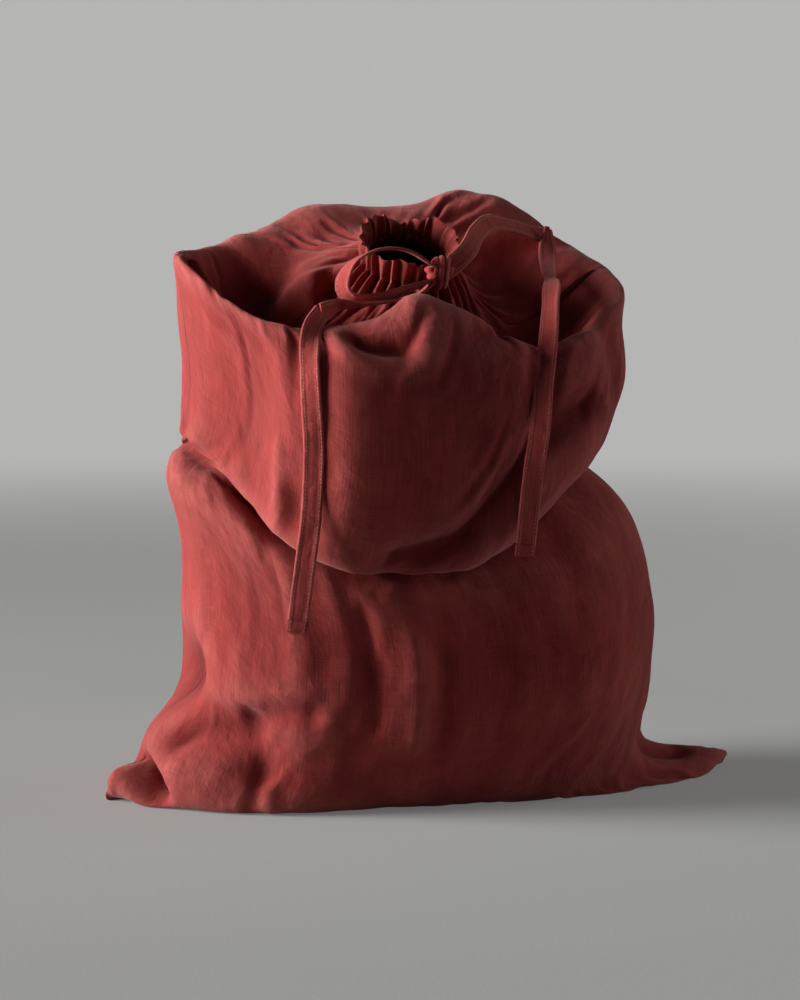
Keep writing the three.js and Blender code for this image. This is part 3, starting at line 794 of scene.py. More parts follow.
fine_rim = refined(rim_points)
fine_base = refined(rim_base)
fine_direction = 180 + 360 * np.arange(len(fine_rim)) / len(fine_rim)
fine_out = fine_base - mouth_centre
fine_out -= np.outer(fine_out @ mouth_up, mouth_up)
fine_out /= np.linalg.norm(fine_out, axis=1, keepdims=True)
fine_turning = np.radians(fine_direction)
fine_wave = uneven_wave(fine_turning, pleats, pleats / 7)
fine_wave *= np.interp(fine_direction % 360, [0, 20, 60, 120, 160, 200, 250, 300, 340, 360],
                       [0.45, 0.40, 0.70, 0.85, 0.60, 0.50, 0.75, 0.80, 0.50, 0.45])
rim_unevenness = 1 + 0.10 * np.sin(3 * fine_turning + 1.0) + 0.05 * np.sin(7 * fine_turning + 2.0)
rim_unevenness -= 0.45 * np.exp(-((fine_direction % 360 - 92) / 20) ** 2)


def casing_row(height, out, keep_wave):
    share = height / casing_height
    push = out + casing_flare * share ** 2 + fine_wave * rim_depth * keep_wave * (1 - 0.40 * share)
    lean = 0.0016 * np.sin(pleats * fine_turning * 0.5 + 0.8) * share
    sideways = np.cross(mouth_up, fine_out)
    tall = np.array(height * rim_unevenness)[:, None]
    return fine_base + fine_out * push[:, None] + mouth_up * tall + sideways * lean[:, None]


outer_heights = [0.0006, 0.0018, stitch_height, 0.0045, 0.008, 0.012, 0.016, 0.019, 0.021, casing_height]
outer_outs = [0.0002, 0.0, -0.0005, 0.0004, 0.0008, 0.0009, 0.0008, 0.0005, 0.0, -0.0008]
inner_heights = [0.0212, 0.019, 0.015, 0.011, 0.007, 0.0045, stitch_height, 0.0012]
inner_outs = [-channel_depth * share for share in (0.6, 0.9, 1.0, 1.0, 0.95, 0.75, 0.5, 0.62)]
casing_rows = [fine_rim]
casing_rows += [casing_row(h, o, 1.0) for h, o in zip(outer_heights, outer_outs)]
casing_rows += [casing_row(h, o, 0.86) for h, o in zip(inner_heights, inner_outs)]
casing_loop = np.array(casing_rows)
casing_up = np.concatenate([[0], outer_heights, [2 * casing_height - h for h in inner_heights]])


def make_casing(name, from_direction, to_direction):
    first = round((from_direction - 180) / 360 * len(fine_rim))
    last = round((to_direction - 180) / 360 * len(fine_rim))
    around = np.arange(first, last + 1)
    chosen = around % len(fine_rim)
    points = casing_loop[:, chosen]
    rows, wide = points.shape[:2]
    casing = make_piece(name, points.reshape(-1, 3), grid_faces(rows, wide))
    # The pleat wave is given as the crest: the tops of the pleats are paled, partly as wear and partly as
    # painted highlight, and their hollows are darkened as painted shade.
    mark_crests(casing, np.tile(0.8 * fine_wave[chosen], rows))
    flat_x = (0.5 + around / len(fine_rim)) * flat_girth
    lay_flat(casing, lambda index: (flat_x[index % wide], flat_height + casing_up[index // wide]))
    thicken(casing, casing_thickness)
    bake_modifiers(casing)
    casing.data.set_sharp_from_angle(angle=math.radians(60))
    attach(casing, "bag")
    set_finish(casing, "linen")
    print(name, len(casing.data.vertices), "points")
    return casing


casing_left = make_casing("casing_front_left", 180, casing_slit - slit_half)
casing_right = make_casing("casing_front_right", casing_slit + slit_half, 360)
casing_back = make_casing("casing_back", 360, 540)
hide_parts("front_casing")
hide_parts("front_casing")
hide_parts("back_casing")

# %% [markdown]
# Every ribbon of the bag is the same woven tape, fifteen millimetres wide with a turned and
# stitched edge on both sides. One function makes them all: it follows a route through a few
# points and takes the direction of the width from a short list, turning smoothly from one
# to the next. The tape is slightly cupped, thicker along its edges, and never quite flat.

# %% Ribbons
ribbon_width = 0.015
ribbon_thickness = 0.0011


def ribbon_frame(line, widths):
    shares = np.linspace(0, 1, len(line))
    given = np.array([width[0] for width in widths])
    wide = np.stack([np.interp(shares, given, [w[1][axis] for w in widths]) for axis in range(3)], -1)
    along = np.gradient(line, axis=0)
    along /= np.linalg.norm(along, axis=1, keepdims=True)
    wide -= (wide * along).sum(axis=1, keepdims=True) * along
    wide /= np.maximum(np.linalg.norm(wide, axis=1, keepdims=True), 1e-9)
    return along, wide, np.cross(along, wide)


def make_ribbon(name, body, points, widths, width=ribbon_width, cup=0.0008, ripple=0.0005, seed=0,
                narrowed=()):
    line = smooth_route(points)
    _, wide, face = ribbon_frame(line, widths)
    shares = np.linspace(0, 1, len(line))
    reach = np.concatenate([[0], np.cumsum(np.linalg.norm(np.diff(line, axis=0), axis=1))])
    size = np.full(len(line), width)
    for centre, spread, factor in narrowed:
        size *= 1 - (1 - factor) * np.exp(-((shares - centre) / spread) ** 2)
    across = np.array([-1, -0.93, -0.78, -0.7, -0.35, 0, 0.35, 0.7, 0.78, 0.93, 1])
    swell = np.array([0.2, 1.0, 0.9, 0.1, 0, 0, 0, 0.1, 0.9, 1.0, 0.2]) * 0.00035
    rows = []
    for index, centre in enumerate(line):
        wave = [noise.noise(Vector((reach[index] * 38, u * 0.8, seed * 7.3))) for u in across]
        sag = cup * (1 - across ** 2) + ripple * np.array(wave)
        edge = centre + np.outer(across * size[index] / 2, wide[index])
        rows.append((edge + np.outer(sag + ribbon_thickness / 2 + swell, face[index]),
                     edge + np.outer(sag - ribbon_thickness / 2 - swell, face[index])))
    ring = 2 * len(across)
    corners = np.array([np.vstack([top, bottom[::-1]]) for top, bottom in rows])
    ribbon = make_piece(name, corners.reshape(-1, 3), tape_faces(len(line), len(across)))
    rubbed = np.interp(np.abs(across), [0, 0.7, 0.8, 1], [0.05, 0.0, 0.35, 0.5])
    mark_crests(ribbon, np.tile(np.concatenate([rubbed, rubbed[::-1]]), len(line)))
    flat_across = np.concatenate([across, across[::-1]]) * ribbon_width / 2
    lay_flat(ribbon, lambda index: (flat_across[index % ring], reach[index // ring]))
    ribbon.data.set_sharp_from_angle(angle=math.radians(70))
    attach(ribbon, body)
    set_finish(ribbon, "ribbon")
    print(name, round(float(reach[-1]) * 1000), "mm long")
    return ribbon, line


left_strap, left_strap_line = make_ribbon(
    "left_tie_strap_ribbon", "bag", left_route[:left_turn + 1],
    [(0, (-0.1, 1, -0.05)), (0.6, (0.1, 0.9, -0.1)), (1, (0.6, 0.5, -0.3))], seed=1)
left_tie, left_line = make_ribbon(
    "left_tie_ribbon", "left_tail", left_route[left_turn:],
    [(0, (0.6, 0.5, -0.3)), (0.2, (0.75, -0.6, -0.1)), (0.45, (0.95, -0.27, -0.1)), (1, (0.95, -0.2, -0.1))],
    seed=2)
right_strap, right_strap_line = make_ribbon(
    "right_tie_strap_ribbon", "bag", right_strap_route,
    [(0, (-0.7, 0.1, 0.7)), (0.35, (-0.2, 0.45, 0.85)), (0.7, (0, 0.75, 0.66)), (1, (0, 0.6, 0.8))], seed=3)
right_tie, right_line = make_ribbon(
    "right_tie_ribbon", "right_tail", right_tie_route,
    [(0, (0.97, 0.2, 0.1)), (0.25, (0.95, 0.1, 0.2)), (0.4, (0.6, -0.6, 0.3)), (0.6, (0.9, -0.3, 0.1)),
     (1, (0.97, 0.1, 0.1))], seed=4, narrowed=[(0.0, 0.04, 0.3), (0.22, 0.08, 0.6)])

# %% [markdown]
# The loop of the bow is one more length of the tape. It leaves the knot to the left, turns
# over at its far end and comes back underneath. It is cupped the other way and droops a
# little.

# %% The loop of the bow
loop_ribbon, loop_line = make_ribbon(
    "bow_loop_ribbon", "loop", [loop_place(a, u) for a, u in loop_outline],
    [(0, (0, 1, 0.1)), (0.3, (0, 1, -0.1)), (0.5, (-0.6, 0.8, -0.1)), (0.66, (-0.2, 0.75, -0.6)),
     (0.85, (0, 0.85, -0.5)), (1, (0, 1, -0.1))],
    seed=5, cup=-0.0006)

# %% [markdown]
# The knot is the same tape pulled tight: a short band that goes once around the crossing,
# creased along its length because it is drawn narrower than it was woven.

# %% The band of the knot
def knot_ring(turn, half_deep, half_tall):
    return knot_centre + np.array((0, -half_deep * math.cos(turn), half_tall * math.sin(turn)))


def make_knot_band(name, half_deep, half_tall, width, creases, lean, seed):
    turns = 56
    across = np.linspace(-1, 1, 25)
    points = []
    for step in range(turns):
        turn = 2 * math.pi * step / turns
        middle = knot_ring(turn, half_deep, half_tall)
        out = np.array((0, -math.cos(turn) * half_tall, math.sin(turn) * half_deep))
        out /= np.linalg.norm(out)
        pinch = 1 - 0.22 * math.cos(turn - 0.5) ** 2
        for u in across:
            ridge = math.cos(creases * u * math.pi + 1.4 * math.sin(turn + seed)) * (1 - u * u) ** 0.3
            ridge = 0.0007 * ridge
            bulge = 0.0022 * (1 - u * u)
            there = Vector((u * 2.2, math.cos(turn) * 1.6, math.sin(turn) * 1.6 + seed * 5))
            rough = 0.0007 * noise.noise(there)
            x = u * width / 2 * pinch + lean * math.sin(turn)
            points.append(middle + out * (ridge + bulge + rough) + np.array((x, 0, 0)))
    wide = len(across)
    faces = [[s * wide + c, s * wide + c + 1, ((s + 1) % turns) * wide + c + 1, ((s + 1) % turns) * wide + c]
             for s in range(turns) for c in range(wide - 1)]
    band = make_piece(name, points, [face[::-1] for face in faces])
    layer = band.data.uv_layers.new(name="flat cloth")
    flat_turn = 2 * math.pi * half_tall / turns
    for polygon in band.data.polygons:
        on_last_turn = polygon.index // (wide - 1) == turns - 1
        for index in polygon.loop_indices:
            step, corner = divmod(band.data.loops[index].vertex_index, wide)
            step = turns if step == 0 and on_last_turn else step
            layer.data[index].uv = (across[corner] * ribbon_width / 2, step * flat_turn)
    thicken(band, 0.001)
    subdivide(band)
    bake_modifiers(band)
    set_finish(band, "ribbon")
    return band


knot_band = make_knot_band("bow_knot_band", 0.0072, 0.0098, 0.0145, 3, 0.0022, 1)
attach(knot_band, "bag")
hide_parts("bow_knot")
print("knot band", len(knot_band.data.vertices), "points")

# %% [markdown]
# Under the band the ribbon's other turns are pressed into a small crumpled mass. It is a
# ball, folded by two waves and roughened, then flattened to the size of the crossing.

# %% The core of the knot
core_radii = (0.0102, 0.0066, 0.0088)
knot_core_mesh = bmesh.new()
bmesh.ops.create_icosphere(knot_core_mesh, subdivisions=5, radius=1)
for vertex in knot_core_mesh.verts:
    x, _, z = vertex.co
    folds_here = 0.10 * math.sin(7 * x + 3 * z) + 0.08 * math.sin(9 * z - 4 * x + 2)
    rough = 0.12 * noise.noise(vertex.co * 2.4)
    vertex.co *= 1 + folds_here + rough
    vertex.co = Vector(knot_centre) + Vector([v * radius for v, radius in zip(vertex.co, core_radii)])
core = bpy.data.meshes.new("bow_knot_core")
knot_core_mesh.to_mesh(core)
knot_core_mesh.free()
core.shade_smooth()
knot_core = bpy.data.objects.new("bow_knot_core", core)
bpy.context.scene.collection.objects.link(knot_core)
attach(knot_core, "bag")
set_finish(knot_core, "ribbon")
print("knot core", len(core.vertices), "points")

# %% [markdown]
# The drawstring itself runs hidden in the casing, where it follows the pleats between the
# two layers. It stops short of the slit on both sides.

# %% The drawstring inside the casing
run_height = 0.0112
run_out = -channel_depth / 2
run_step = 0.0036


def make_run():
    first = round((casing_slit - 180) / 360 * len(fine_rim))
    order = np.roll(np.arange(len(fine_rim)), -first)[4:-3]
    heights = [run_height + step * run_step for step in (-2, -1, 0, 1, 2)]
    rows = [casing_row(height, run_out, 0.93)[order] for height in heights]
    wide = len(order)
    run = make_piece("drawstring_in_casing", np.vstack(rows), grid_faces(len(rows), wide))
    lay_flat(run, lambda index: ((index // wide - 2) * run_step, index % wide / wide * flat_girth))
    thicken(run, 0.0008, offset=0)
    bake_modifiers(run)
    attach(run, "bag")
    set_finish(run, "ribbon")
    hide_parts("drawstring_run")
    return run


drawstring_run = make_run()
print("drawstring in the casing", len(drawstring_run.data.vertices), "points")

# %% [markdown]
# Both ends of the drawstring leave through the slit and go side by side into the knot. Each
# is drawn a little narrower than the rest of the tape, because the slit gathers it.

# %% Both ends of the drawstring
slit_turn = math.radians(casing_slit)
inside_slit = np.array(mouth_point(slit_turn, 0, run_height))
outside_slit = np.array(mouth_point(slit_turn, 0.005, run_height))
for side, name in ((-0.0017, "drawstring_end_left"), (0.0017, "drawstring_end_right")):
    along_knot = (knot_centre - outside_slit) / np.linalg.norm(knot_centre - outside_slit)
    aside = np.cross(along_knot, mouth_up) * side
    middle = outside_slit * 0.55 + knot_centre * 0.45
    end_route = [inside_slit + aside * 0.6, outside_slit + aside, middle + aside * 1.3,
                 knot_centre + aside * 0.5]
    end_widths = [(0, mouth_up), (1, mouth_up + 0.4 * np.array((1, 0, 0)))]
    end_ribbon, _ = make_ribbon(name, "bag", end_route, end_widths, seed=6 + side * 900, width=0.0135)
    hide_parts("drawstring_ends")

# %% [markdown]
# The ties end in a short double hem. The cut edge of the tape frays below it into a few
# loose threads.

# %% Hems and frayed threads at the ends of the ties
hem_length = 0.009
hem_thickness = 0.0024


def make_hem(name, body, line, widths, node):
    along, wide, face = ribbon_frame(line, widths)
    start = line[-1] + along[-1] * 0.0002
    rows = []
    steps = np.linspace(0, 1, 7)
    across = np.linspace(-1, 1, 13)
    for share in steps:
        centre = start + along[-1] * hem_length * share
        swell = hem_thickness / 2 * (1 - 0.35 * abs(2 * share - 1) ** 3)
        puff = np.array([0.00025 * noise.noise(Vector((u * 3, share * 4, 3.3))) for u in across])
        edge = centre + np.outer(across * ribbon_width / 2, wide[-1])
        thick = swell * (1 - 0.4 * across ** 8) + puff
        rows.append(np.vstack([edge + np.outer(thick, face[-1]), (edge - np.outer(thick, face[-1]))[::-1]]))
    ring = 2 * len(across)
    hem = make_piece(name, np.vstack(rows), tape_faces(len(rows), len(across)))
    flat_across = np.concatenate([across, across[::-1]]) * ribbon_width / 2
    lay_flat(hem, lambda index: (flat_across[index % ring], steps[index // ring] * hem_length))
    hem.data.set_sharp_from_angle(angle=math.radians(60))
    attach(hem, body)
    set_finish(hem, "ribbon")
    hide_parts(node)
    return hem, start + along[-1] * hem_length, along[-1], wide[-1], face[-1]


def make_fray(name, body, end, along, wide, face, seed):
    threads = 22
    chance = np.random.default_rng(seed)
    points, faces = [], []
    for thread in range(threads):
        across = (thread + 0.5 + chance.uniform(-0.3, 0.3)) / threads * 2 - 1
        reach = chance.uniform(0.0012, 0.0042)
        bend = chance.uniform(-0.0012, 0.0012)
        lift = chance.uniform(-0.0009, 0.0009)
        thick = chance.uniform(0.00016, 0.00026)
        root = end + wide * across * ribbon_width * 0.47 - along * 0.0008
        for share in (0, 0.35, 0.7, 1.0):
            sideways = wide * bend * share ** 2 + face * lift * share ** 2
            centre = root + along * (reach + 0.0008) * share + sideways
            size = thick * (1 - 0.6 * share)
            for corner in range(4):
                turn = math.pi / 2 * corner
                points.append(centre + wide * size * math.cos(turn) + face * size * math.sin(turn))
        base = thread * 16
        faces += [[base + corner for corner in face] for face in grid_faces(4, 4, closed=True)]
        faces += [[base + 3, base + 2, base + 1, base], [base + 12, base + 13, base + 14, base + 15]]
    fray = make_piece(name, points, faces)
    lay_flat(fray, lambda index: (index * 0.0003, index * 0.0001))
    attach(fray, body)
    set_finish(fray, "ribbon")
    return fray


left_hem, *left_end = make_hem(
    "left_tie_end_hem", "left_tail", left_line, [(0, (0.95, -0.2, -0.1)), (1, (0.95, -0.2, -0.1))],
    "left_tie_hem")
right_hem, *right_end = make_hem(
    "right_tie_end_hem", "right_tail", right_line, [(0, (0.97, 0.1, 0.1)), (1, (0.97, 0.1, 0.1))],
    "right_tie_hem")
left_fray = make_fray("left_tie_frayed_threads", "left_tail", *left_end, seed=11)
right_fray = make_fray("right_tie_frayed_threads", "right_tail", *right_end, seed=12)
print("hems end at", left_end[0].round(3).tolist(), right_end[0].round(3).tolist())

for ribbon, line, node in (
    (left_strap, left_strap_line, "left_tie_strap"), (left_tie, left_line, "left_tie"),
    (right_strap, right_strap_line, "right_tie_strap"), (right_tie, right_line, "right_tie"),
    (loop_ribbon, loop_line, "bow_loop"),
):
    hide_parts(node)

# %% [markdown]
# Inside the bag the spare centimetre of both panels is pressed to one side and stitched. It
# shows only through the mouth, but it is what makes the side lines lie as seams do.

# %% Seam allowances inside the bag
allowance = 0.010
allowance_thickness = 0.0018


def make_allowance(name, column, side):
    rows = np.arange(4, cloth_rows - 16)
    near = cloth_points[number[rows, column]]
    ahead = cloth_points[number[rows, (column + side * 2) % columns]]
    behind = cloth_points[number[rows, (column - side * 2) % columns]]
    inward = (ahead + behind) / 2 - near
    inward += (cloth_points[number[rows]].mean(axis=1) - near) * 0.03
    inward /= np.linalg.norm(inward, axis=1, keepdims=True)
    across = np.linspace(0.15, 1, 5)
    points = np.vstack([near + inward * allowance * share for share in across])
    wide = len(rows)
    strip = make_piece(name, points, grid_faces(len(across), wide))
    flat_up = rows / (cloth_rows - 1) * flat_height
    lay_flat(strip, lambda index: (across[index // wide] * allowance, flat_up[index % wide]))
    thicken(strip, allowance_thickness, offset=0)
    bake_modifiers(strip)
    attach(strip, "bag")
    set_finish(strip, "linen")
    return strip


left_allowance = make_allowance("seam_allowance_left", 0, 1)
right_allowance = make_allowance("seam_allowance_right", half_columns, 1)
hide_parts("left_side_seam")
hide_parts("right_side_seam")

seam_columns = np.arange(4, half_columns - 3)
seam_line = cloth_points[number[0, seam_columns]]
seam_rises = (0.0012, 0.004, 0.007, 0.0100)
seam_points = np.vstack([seam_line + np.array((0, 0, rise)) for rise in seam_rises])
seam_wide = len(seam_columns)
bottom_allowance = make_piece("seam_allowance_bottom", seam_points, grid_faces(len(seam_rises), seam_wide))
lay_flat(bottom_allowance, lambda index: (
    index % seam_wide / seam_wide * flat_girth / 2, index // seam_wide * 0.003))
thicken(bottom_allowance, allowance_thickness, offset=0)
bake_modifiers(bottom_allowance)
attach(bottom_allowance, "bag")
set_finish(bottom_allowance, "linen")
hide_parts("bottom_seam")
allowances = (left_allowance, right_allowance, bottom_allowance)
print("seam allowances", sum(len(strip.data.vertices) for strip in allowances), "points")

# %% [markdown]
# Stone-washed linen is dyed after it is woven, so its colour is uneven, and every few
# centimetres a thicker thread, a slub, catches more or less dye. Crests are also made paler,
# partly as rubbed wear and partly as painted highlight, and the folds darker, as painted shade.
# The finish is built from small node groups, each with one job. They give colours, masks and
# heights only, and the material puts them together.

# %% Node helpers
def new_group(name, inputs, outputs):
    group = bpy.data.node_groups.new(name, "ShaderNodeTree")
    for label, kind, value in inputs:
        socket = group.interface.new_socket(name=label, in_out="INPUT", socket_type=kind)
        if value is not None:
            socket.default_value = value
    for label, kind in outputs:
        group.interface.new_socket(name=label, in_out="OUTPUT", socket_type=kind)
    return group, group.nodes.new("NodeGroupInput"), group.nodes.new("NodeGroupOutput")


def math_node(tree, operation, first, second=None, clamp=False):
    node = tree.nodes.new("ShaderNodeMath")
    node.operation = operation
    node.use_clamp = clamp
    for index, value in enumerate((first, second)):
        if value is None:
            continue
        if isinstance(value, bpy.types.NodeSocket):
            tree.links.new(value, node.inputs[index])
        else:
            node.inputs[index].default_value = value
    return node.outputs[0]


def noise_node(tree, place, scale, detail=2.0, roughness=0.5):
    node = tree.nodes.new("ShaderNodeTexNoise")
    node.inputs["Scale"].default_value = scale
    node.inputs["Detail"].default_value = detail
    node.inputs["Roughness"].default_value = roughness
    tree.links.new(place, node.inputs["Vector"])
    return node.outputs["Fac"]


def stretched(tree, place, factors):
    node = tree.nodes.new("ShaderNodeVectorMath")
    node.operation = "MULTIPLY"
    node.inputs[1].default_value = factors
    tree.links.new(place, node.inputs[0])
    return node.outputs[0]


def ramp_between(tree, value, low, high, to_low=0.0, to_high=1.0):
    node = tree.nodes.new("ShaderNodeMapRange")
    node.inputs["From Min"].default_value = low
    node.inputs["From Max"].default_value = high
    node.inputs["To Min"].default_value = to_low
    node.inputs["To Max"].default_value = to_high
    tree.links.new(value, node.inputs["Value"])
    return node.outputs["Result"]


def mixed_colour(tree, factor, first, second, blend="MIX"):
    node = tree.nodes.new("ShaderNodeMix")
    node.data_type = "RGBA"
    node.blend_type = blend
    for socket, value in ((node.inputs[0], factor), (node.inputs[6], first), (node.inputs[7], second)):
        if isinstance(value, bpy.types.NodeSocket):
            tree.links.new(value, socket)
        else:
            socket.default_value = value
    return node.outputs[2]


def from_srgb(red, green, blue):
    linear = [((c / 255 + 0.055) / 1.055) ** 2.4 for c in (red, green, blue)]
    return (*linear, 1.0)


print("node helpers ready")

# %% [markdown]
# A plain weave is two sets of threads that take turns on top. Two sine waves, one along each
# set, give that checkerboard of small bumps. The threads of linen aren't even, so the place
# on the cloth is first shifted a little by a slow noise, and a noise drawn out along each
# thread makes slubs.

# %% Weave of the linen
weave, enter, leave = new_group(
    "plain weave",
    [("Place", "NodeSocketVector", None), ("Threads per Metre", "NodeSocketFloat", 1500.0),
     ("Slubs", "NodeSocketFloat", 1.0)],
    [("Height", "NodeSocketFloat"), ("Thread Shade", "NodeSocketFloat")])
place = enter.outputs["Place"]
drift = noise_node(weave, place, 14.0, 1.0)
split = weave.nodes.new("ShaderNodeSeparateXYZ")
weave.links.new(place, split.inputs[0])
wander = math_node(weave, "MULTIPLY", math_node(weave, "SUBTRACT", drift, 0.5), 0.004)
threads = enter.outputs["Threads per Metre"]
across_threads = math_node(weave, "MULTIPLY", math_node(weave, "ADD", split.outputs[0], wander), threads)
along_threads = math_node(weave, "MULTIPLY", math_node(weave, "SUBTRACT", split.outputs[1], wander), threads)
warp_wave = math_node(weave, "SINE", math_node(weave, "MULTIPLY", across_threads, math.pi))
weft_wave = math_node(weave, "SINE", math_node(weave, "MULTIPLY", along_threads, math.pi))
crossing = math_node(weave, "MULTIPLY", warp_wave, weft_wave)
warp_slubs = noise_node(weave, stretched(weave, place, (900.0, 26.0, 1.0)), 1.0, 2.0, 0.6)
weft_slubs = noise_node(weave, stretched(weave, place, (26.0, 900.0, 1.0)), 1.0, 2.0, 0.6)
slubs = math_node(weave, "ADD", math_node(weave, "MULTIPLY", warp_slubs, 0.62),
                  math_node(weave, "MULTIPLY", weft_slubs, 0.38))
slub_height = math_node(weave, "MULTIPLY", math_node(weave, "MULTIPLY", slubs, enter.outputs["Slubs"]), 2.2)
height = math_node(weave, "ADD", math_node(weave, "MULTIPLY", crossing, 0.5), slub_height)
weave.links.new(height, leave.inputs["Height"])
weave.links.new(ramp_between(weave, slubs, 0.36, 0.64), leave.inputs["Thread Shade"])
print(weave.name, len(weave.nodes), "nodes")

# %% [markdown]
# Washed linen keeps small crinkles that never iron out. They are short, sharp-crested
# wrinkles at all angles, made here from the middle line of a noise, where it changes sign.

# %% Crinkles of washed cloth
crinkle, enter, leave = new_group(
    "washed crinkles", [("Place", "NodeSocketVector", None), ("Scale", "NodeSocketFloat", 1.0)],
    [("Height", "NodeSocketFloat")])
scaled = crinkle.nodes.new("ShaderNodeVectorMath")
scaled.operation = "SCALE"
crinkle.links.new(enter.outputs["Place"], scaled.inputs[0])
crinkle.links.new(enter.outputs["Scale"], scaled.inputs["Scale"])
total = None
for scale, weight in ((16.0, 1.0), (42.0, 0.45), (110.0, 0.18)):
    wave_height = noise_node(crinkle, scaled.outputs[0], scale, 2.0, 0.55)
    crest = math_node(crinkle, "ABSOLUTE", math_node(crinkle, "SUBTRACT", wave_height, 0.5))
    sharp = math_node(crinkle, "MULTIPLY", ramp_between(crinkle, crest, 0.0, 0.16, 1.0, 0.0), weight)
    total = sharp if total is None else math_node(crinkle, "ADD", total, sharp)
crinkle.links.new(total, leave.inputs["Height"])
print(crinkle.name, len(crinkle.nodes), "nodes")

# %% [markdown]
# The dye is mottled in soft patches a few centimetres wide, with a finer blotch inside them.
# Crests are paled, unevenly, partly as rubbed wear and partly as painted highlight, and valleys
# are darkened towards the deep colour as painted shade. `Crest` says which is which. Last,
# single threads take more or less dye than their neighbours.

# %% Dye, blotches, wear, painted highlight and painted shade
dye, enter, leave = new_group(
    "garment dye",
    [("Place", "NodeSocketVector", None),
     ("Thread Shade", "NodeSocketFloat", 0.5),
     ("Crest", "NodeSocketFloat", 0.0),
     ("Deep", "NodeSocketColor", (0.2, 0.02, 0.02, 1)),
     ("Plain", "NodeSocketColor", (0.3, 0.05, 0.05, 1)),
     ("Pale", "NodeSocketColor", (0.5, 0.14, 0.12, 1))],
    [("Color", "NodeSocketColor")])
patches = noise_node(dye, stretched(dye, enter.outputs["Place"], (1.0, 0.7, 1.0)), 9.0, 4.0, 0.62)
blotches = noise_node(dye, enter.outputs["Place"], 70.0, 3.0, 0.6)
patch_mask = ramp_between(dye, patches, 0.34, 0.66, 0.30, 1.0)
blotch_mask = ramp_between(dye, blotches, 0.40, 0.66)
first = mixed_colour(dye, patch_mask, enter.outputs["Deep"], enter.outputs["Plain"])
softened = math_node(dye, "MULTIPLY", blotch_mask, 0.35)
second = mixed_colour(dye, softened, first, enter.outputs["Plain"])
# Paler crests: partly rubbed wear, partly painted highlight.
rubbed = ramp_between(dye, enter.outputs["Crest"], 0.10, 0.75, 0.0, 0.35)
patchy_rub_and_highlight = math_node(dye, "MULTIPLY", rubbed, ramp_between(dye, blotches, 0.30, 0.62, 0.45, 1.0))
third = mixed_colour(dye, patchy_rub_and_highlight, second, enter.outputs["Pale"])
# Darker valleys: painted shade, mixed towards the deep red.
painted_valley_shade = ramp_between(dye, enter.outputs["Crest"], -0.05, -0.60, 0.0, 0.8)
fourth = mixed_colour(dye, painted_valley_shade, third, enter.outputs["Deep"])
thread_light = ramp_between(dye, enter.outputs["Thread Shade"], 0.0, 1.0, 0.80, 1.20)
fifth = mixed_colour(dye, 1.0, fourth, thread_light, "MULTIPLY")
dye.links.new(fifth, leave.inputs["Color"])
print(dye.name, len(dye.nodes), "nodes")

# %% [markdown]
# A row of stitches is a dash repeated along a line. The group takes the distance from the
# line and the place along it, and gives a mask for the thread's colour and a height that
# also dents the cloth where the needle went in.

# %% Rows of stitches
stitches, enter, leave = new_group(
    "stitch row",
    [("From Line", "NodeSocketFloat", 0.0), ("Along", "NodeSocketFloat", 0.0),
     ("Stitch Length", "NodeSocketFloat", 0.0028), ("Thread Width", "NodeSocketFloat", 0.0006)],
    [("Mask", "NodeSocketFloat"), ("Height", "NodeSocketFloat")])
turns = math_node(stitches, "DIVIDE", enter.outputs["Along"], enter.outputs["Stitch Length"])
from_middle = math_node(stitches, "SUBTRACT", math_node(stitches, "FRACT", turns), 0.5)
inside_stitch = math_node(stitches, "ABSOLUTE", from_middle)
dash = ramp_between(stitches, inside_stitch, 0.30, 0.40, 1.0, 0.0)
away = math_node(stitches, "ABSOLUTE", enter.outputs["From Line"])
ratio = math_node(stitches, "DIVIDE", away, enter.outputs["Thread Width"])
thread_mask = ramp_between(stitches, ratio, 0.4, 0.8, 1.0, 0.0)
drawn = math_node(stitches, "MULTIPLY", dash, thread_mask)
groove = ramp_between(stitches, ratio, 0.0, 3.5, -1.0, 0.0)
stitches.links.new(drawn, leave.inputs["Mask"])
thread_height = math_node(stitches, "MULTIPLY", drawn, 1.4)
stitches.links.new(math_node(stitches, "ADD", groove, thread_height), leave.inputs["Height"])
print(stitches.name, len(stitches.nodes), "nodes")

# %% [markdown]
# Two materials carry the whole bag: the linen of the body and the tape of the ribbons. Both
# are the same dyed linen. The groups above are joined here with the shader, which is rough,
# has hardly any gloss and a little sheen from the loose fibres.

# %% Linen and ribbon materials
# For the linen, the deep red gives both the darker dye patches and the painted shade in the valleys, and the
# pale red gives both the worn crests and their painted highlight.
linen_reds = (from_srgb(108, 28, 26), from_srgb(160, 59, 56), from_srgb(200, 112, 106))
tape_reds = (from_srgb(134, 42, 40), from_srgb(176, 72, 68), from_srgb(210, 124, 117))
thread_red = from_srgb(200, 122, 112)
weave_relief = 0.00016
crinkle_relief = 0.0007
stitch_relief = 0.0003
cloth_finish = {
    "Specular IOR Level": 0.18,
    "Sheen Weight": 0.20,
    "Sheen Roughness": 0.45,
    "Sheen Tint": (1.0, 0.80, 0.77, 1.0),
}


def use_group(tree, group, **inputs):
    node = tree.nodes.new("ShaderNodeGroup")
    node.node_tree = group
    for label, value in inputs.items():
        socket = node.inputs[label.replace("_", " ")]
        if isinstance(value, bpy.types.NodeSocket):
            tree.links.new(value, socket)
        else:
            socket.default_value = value
    return node


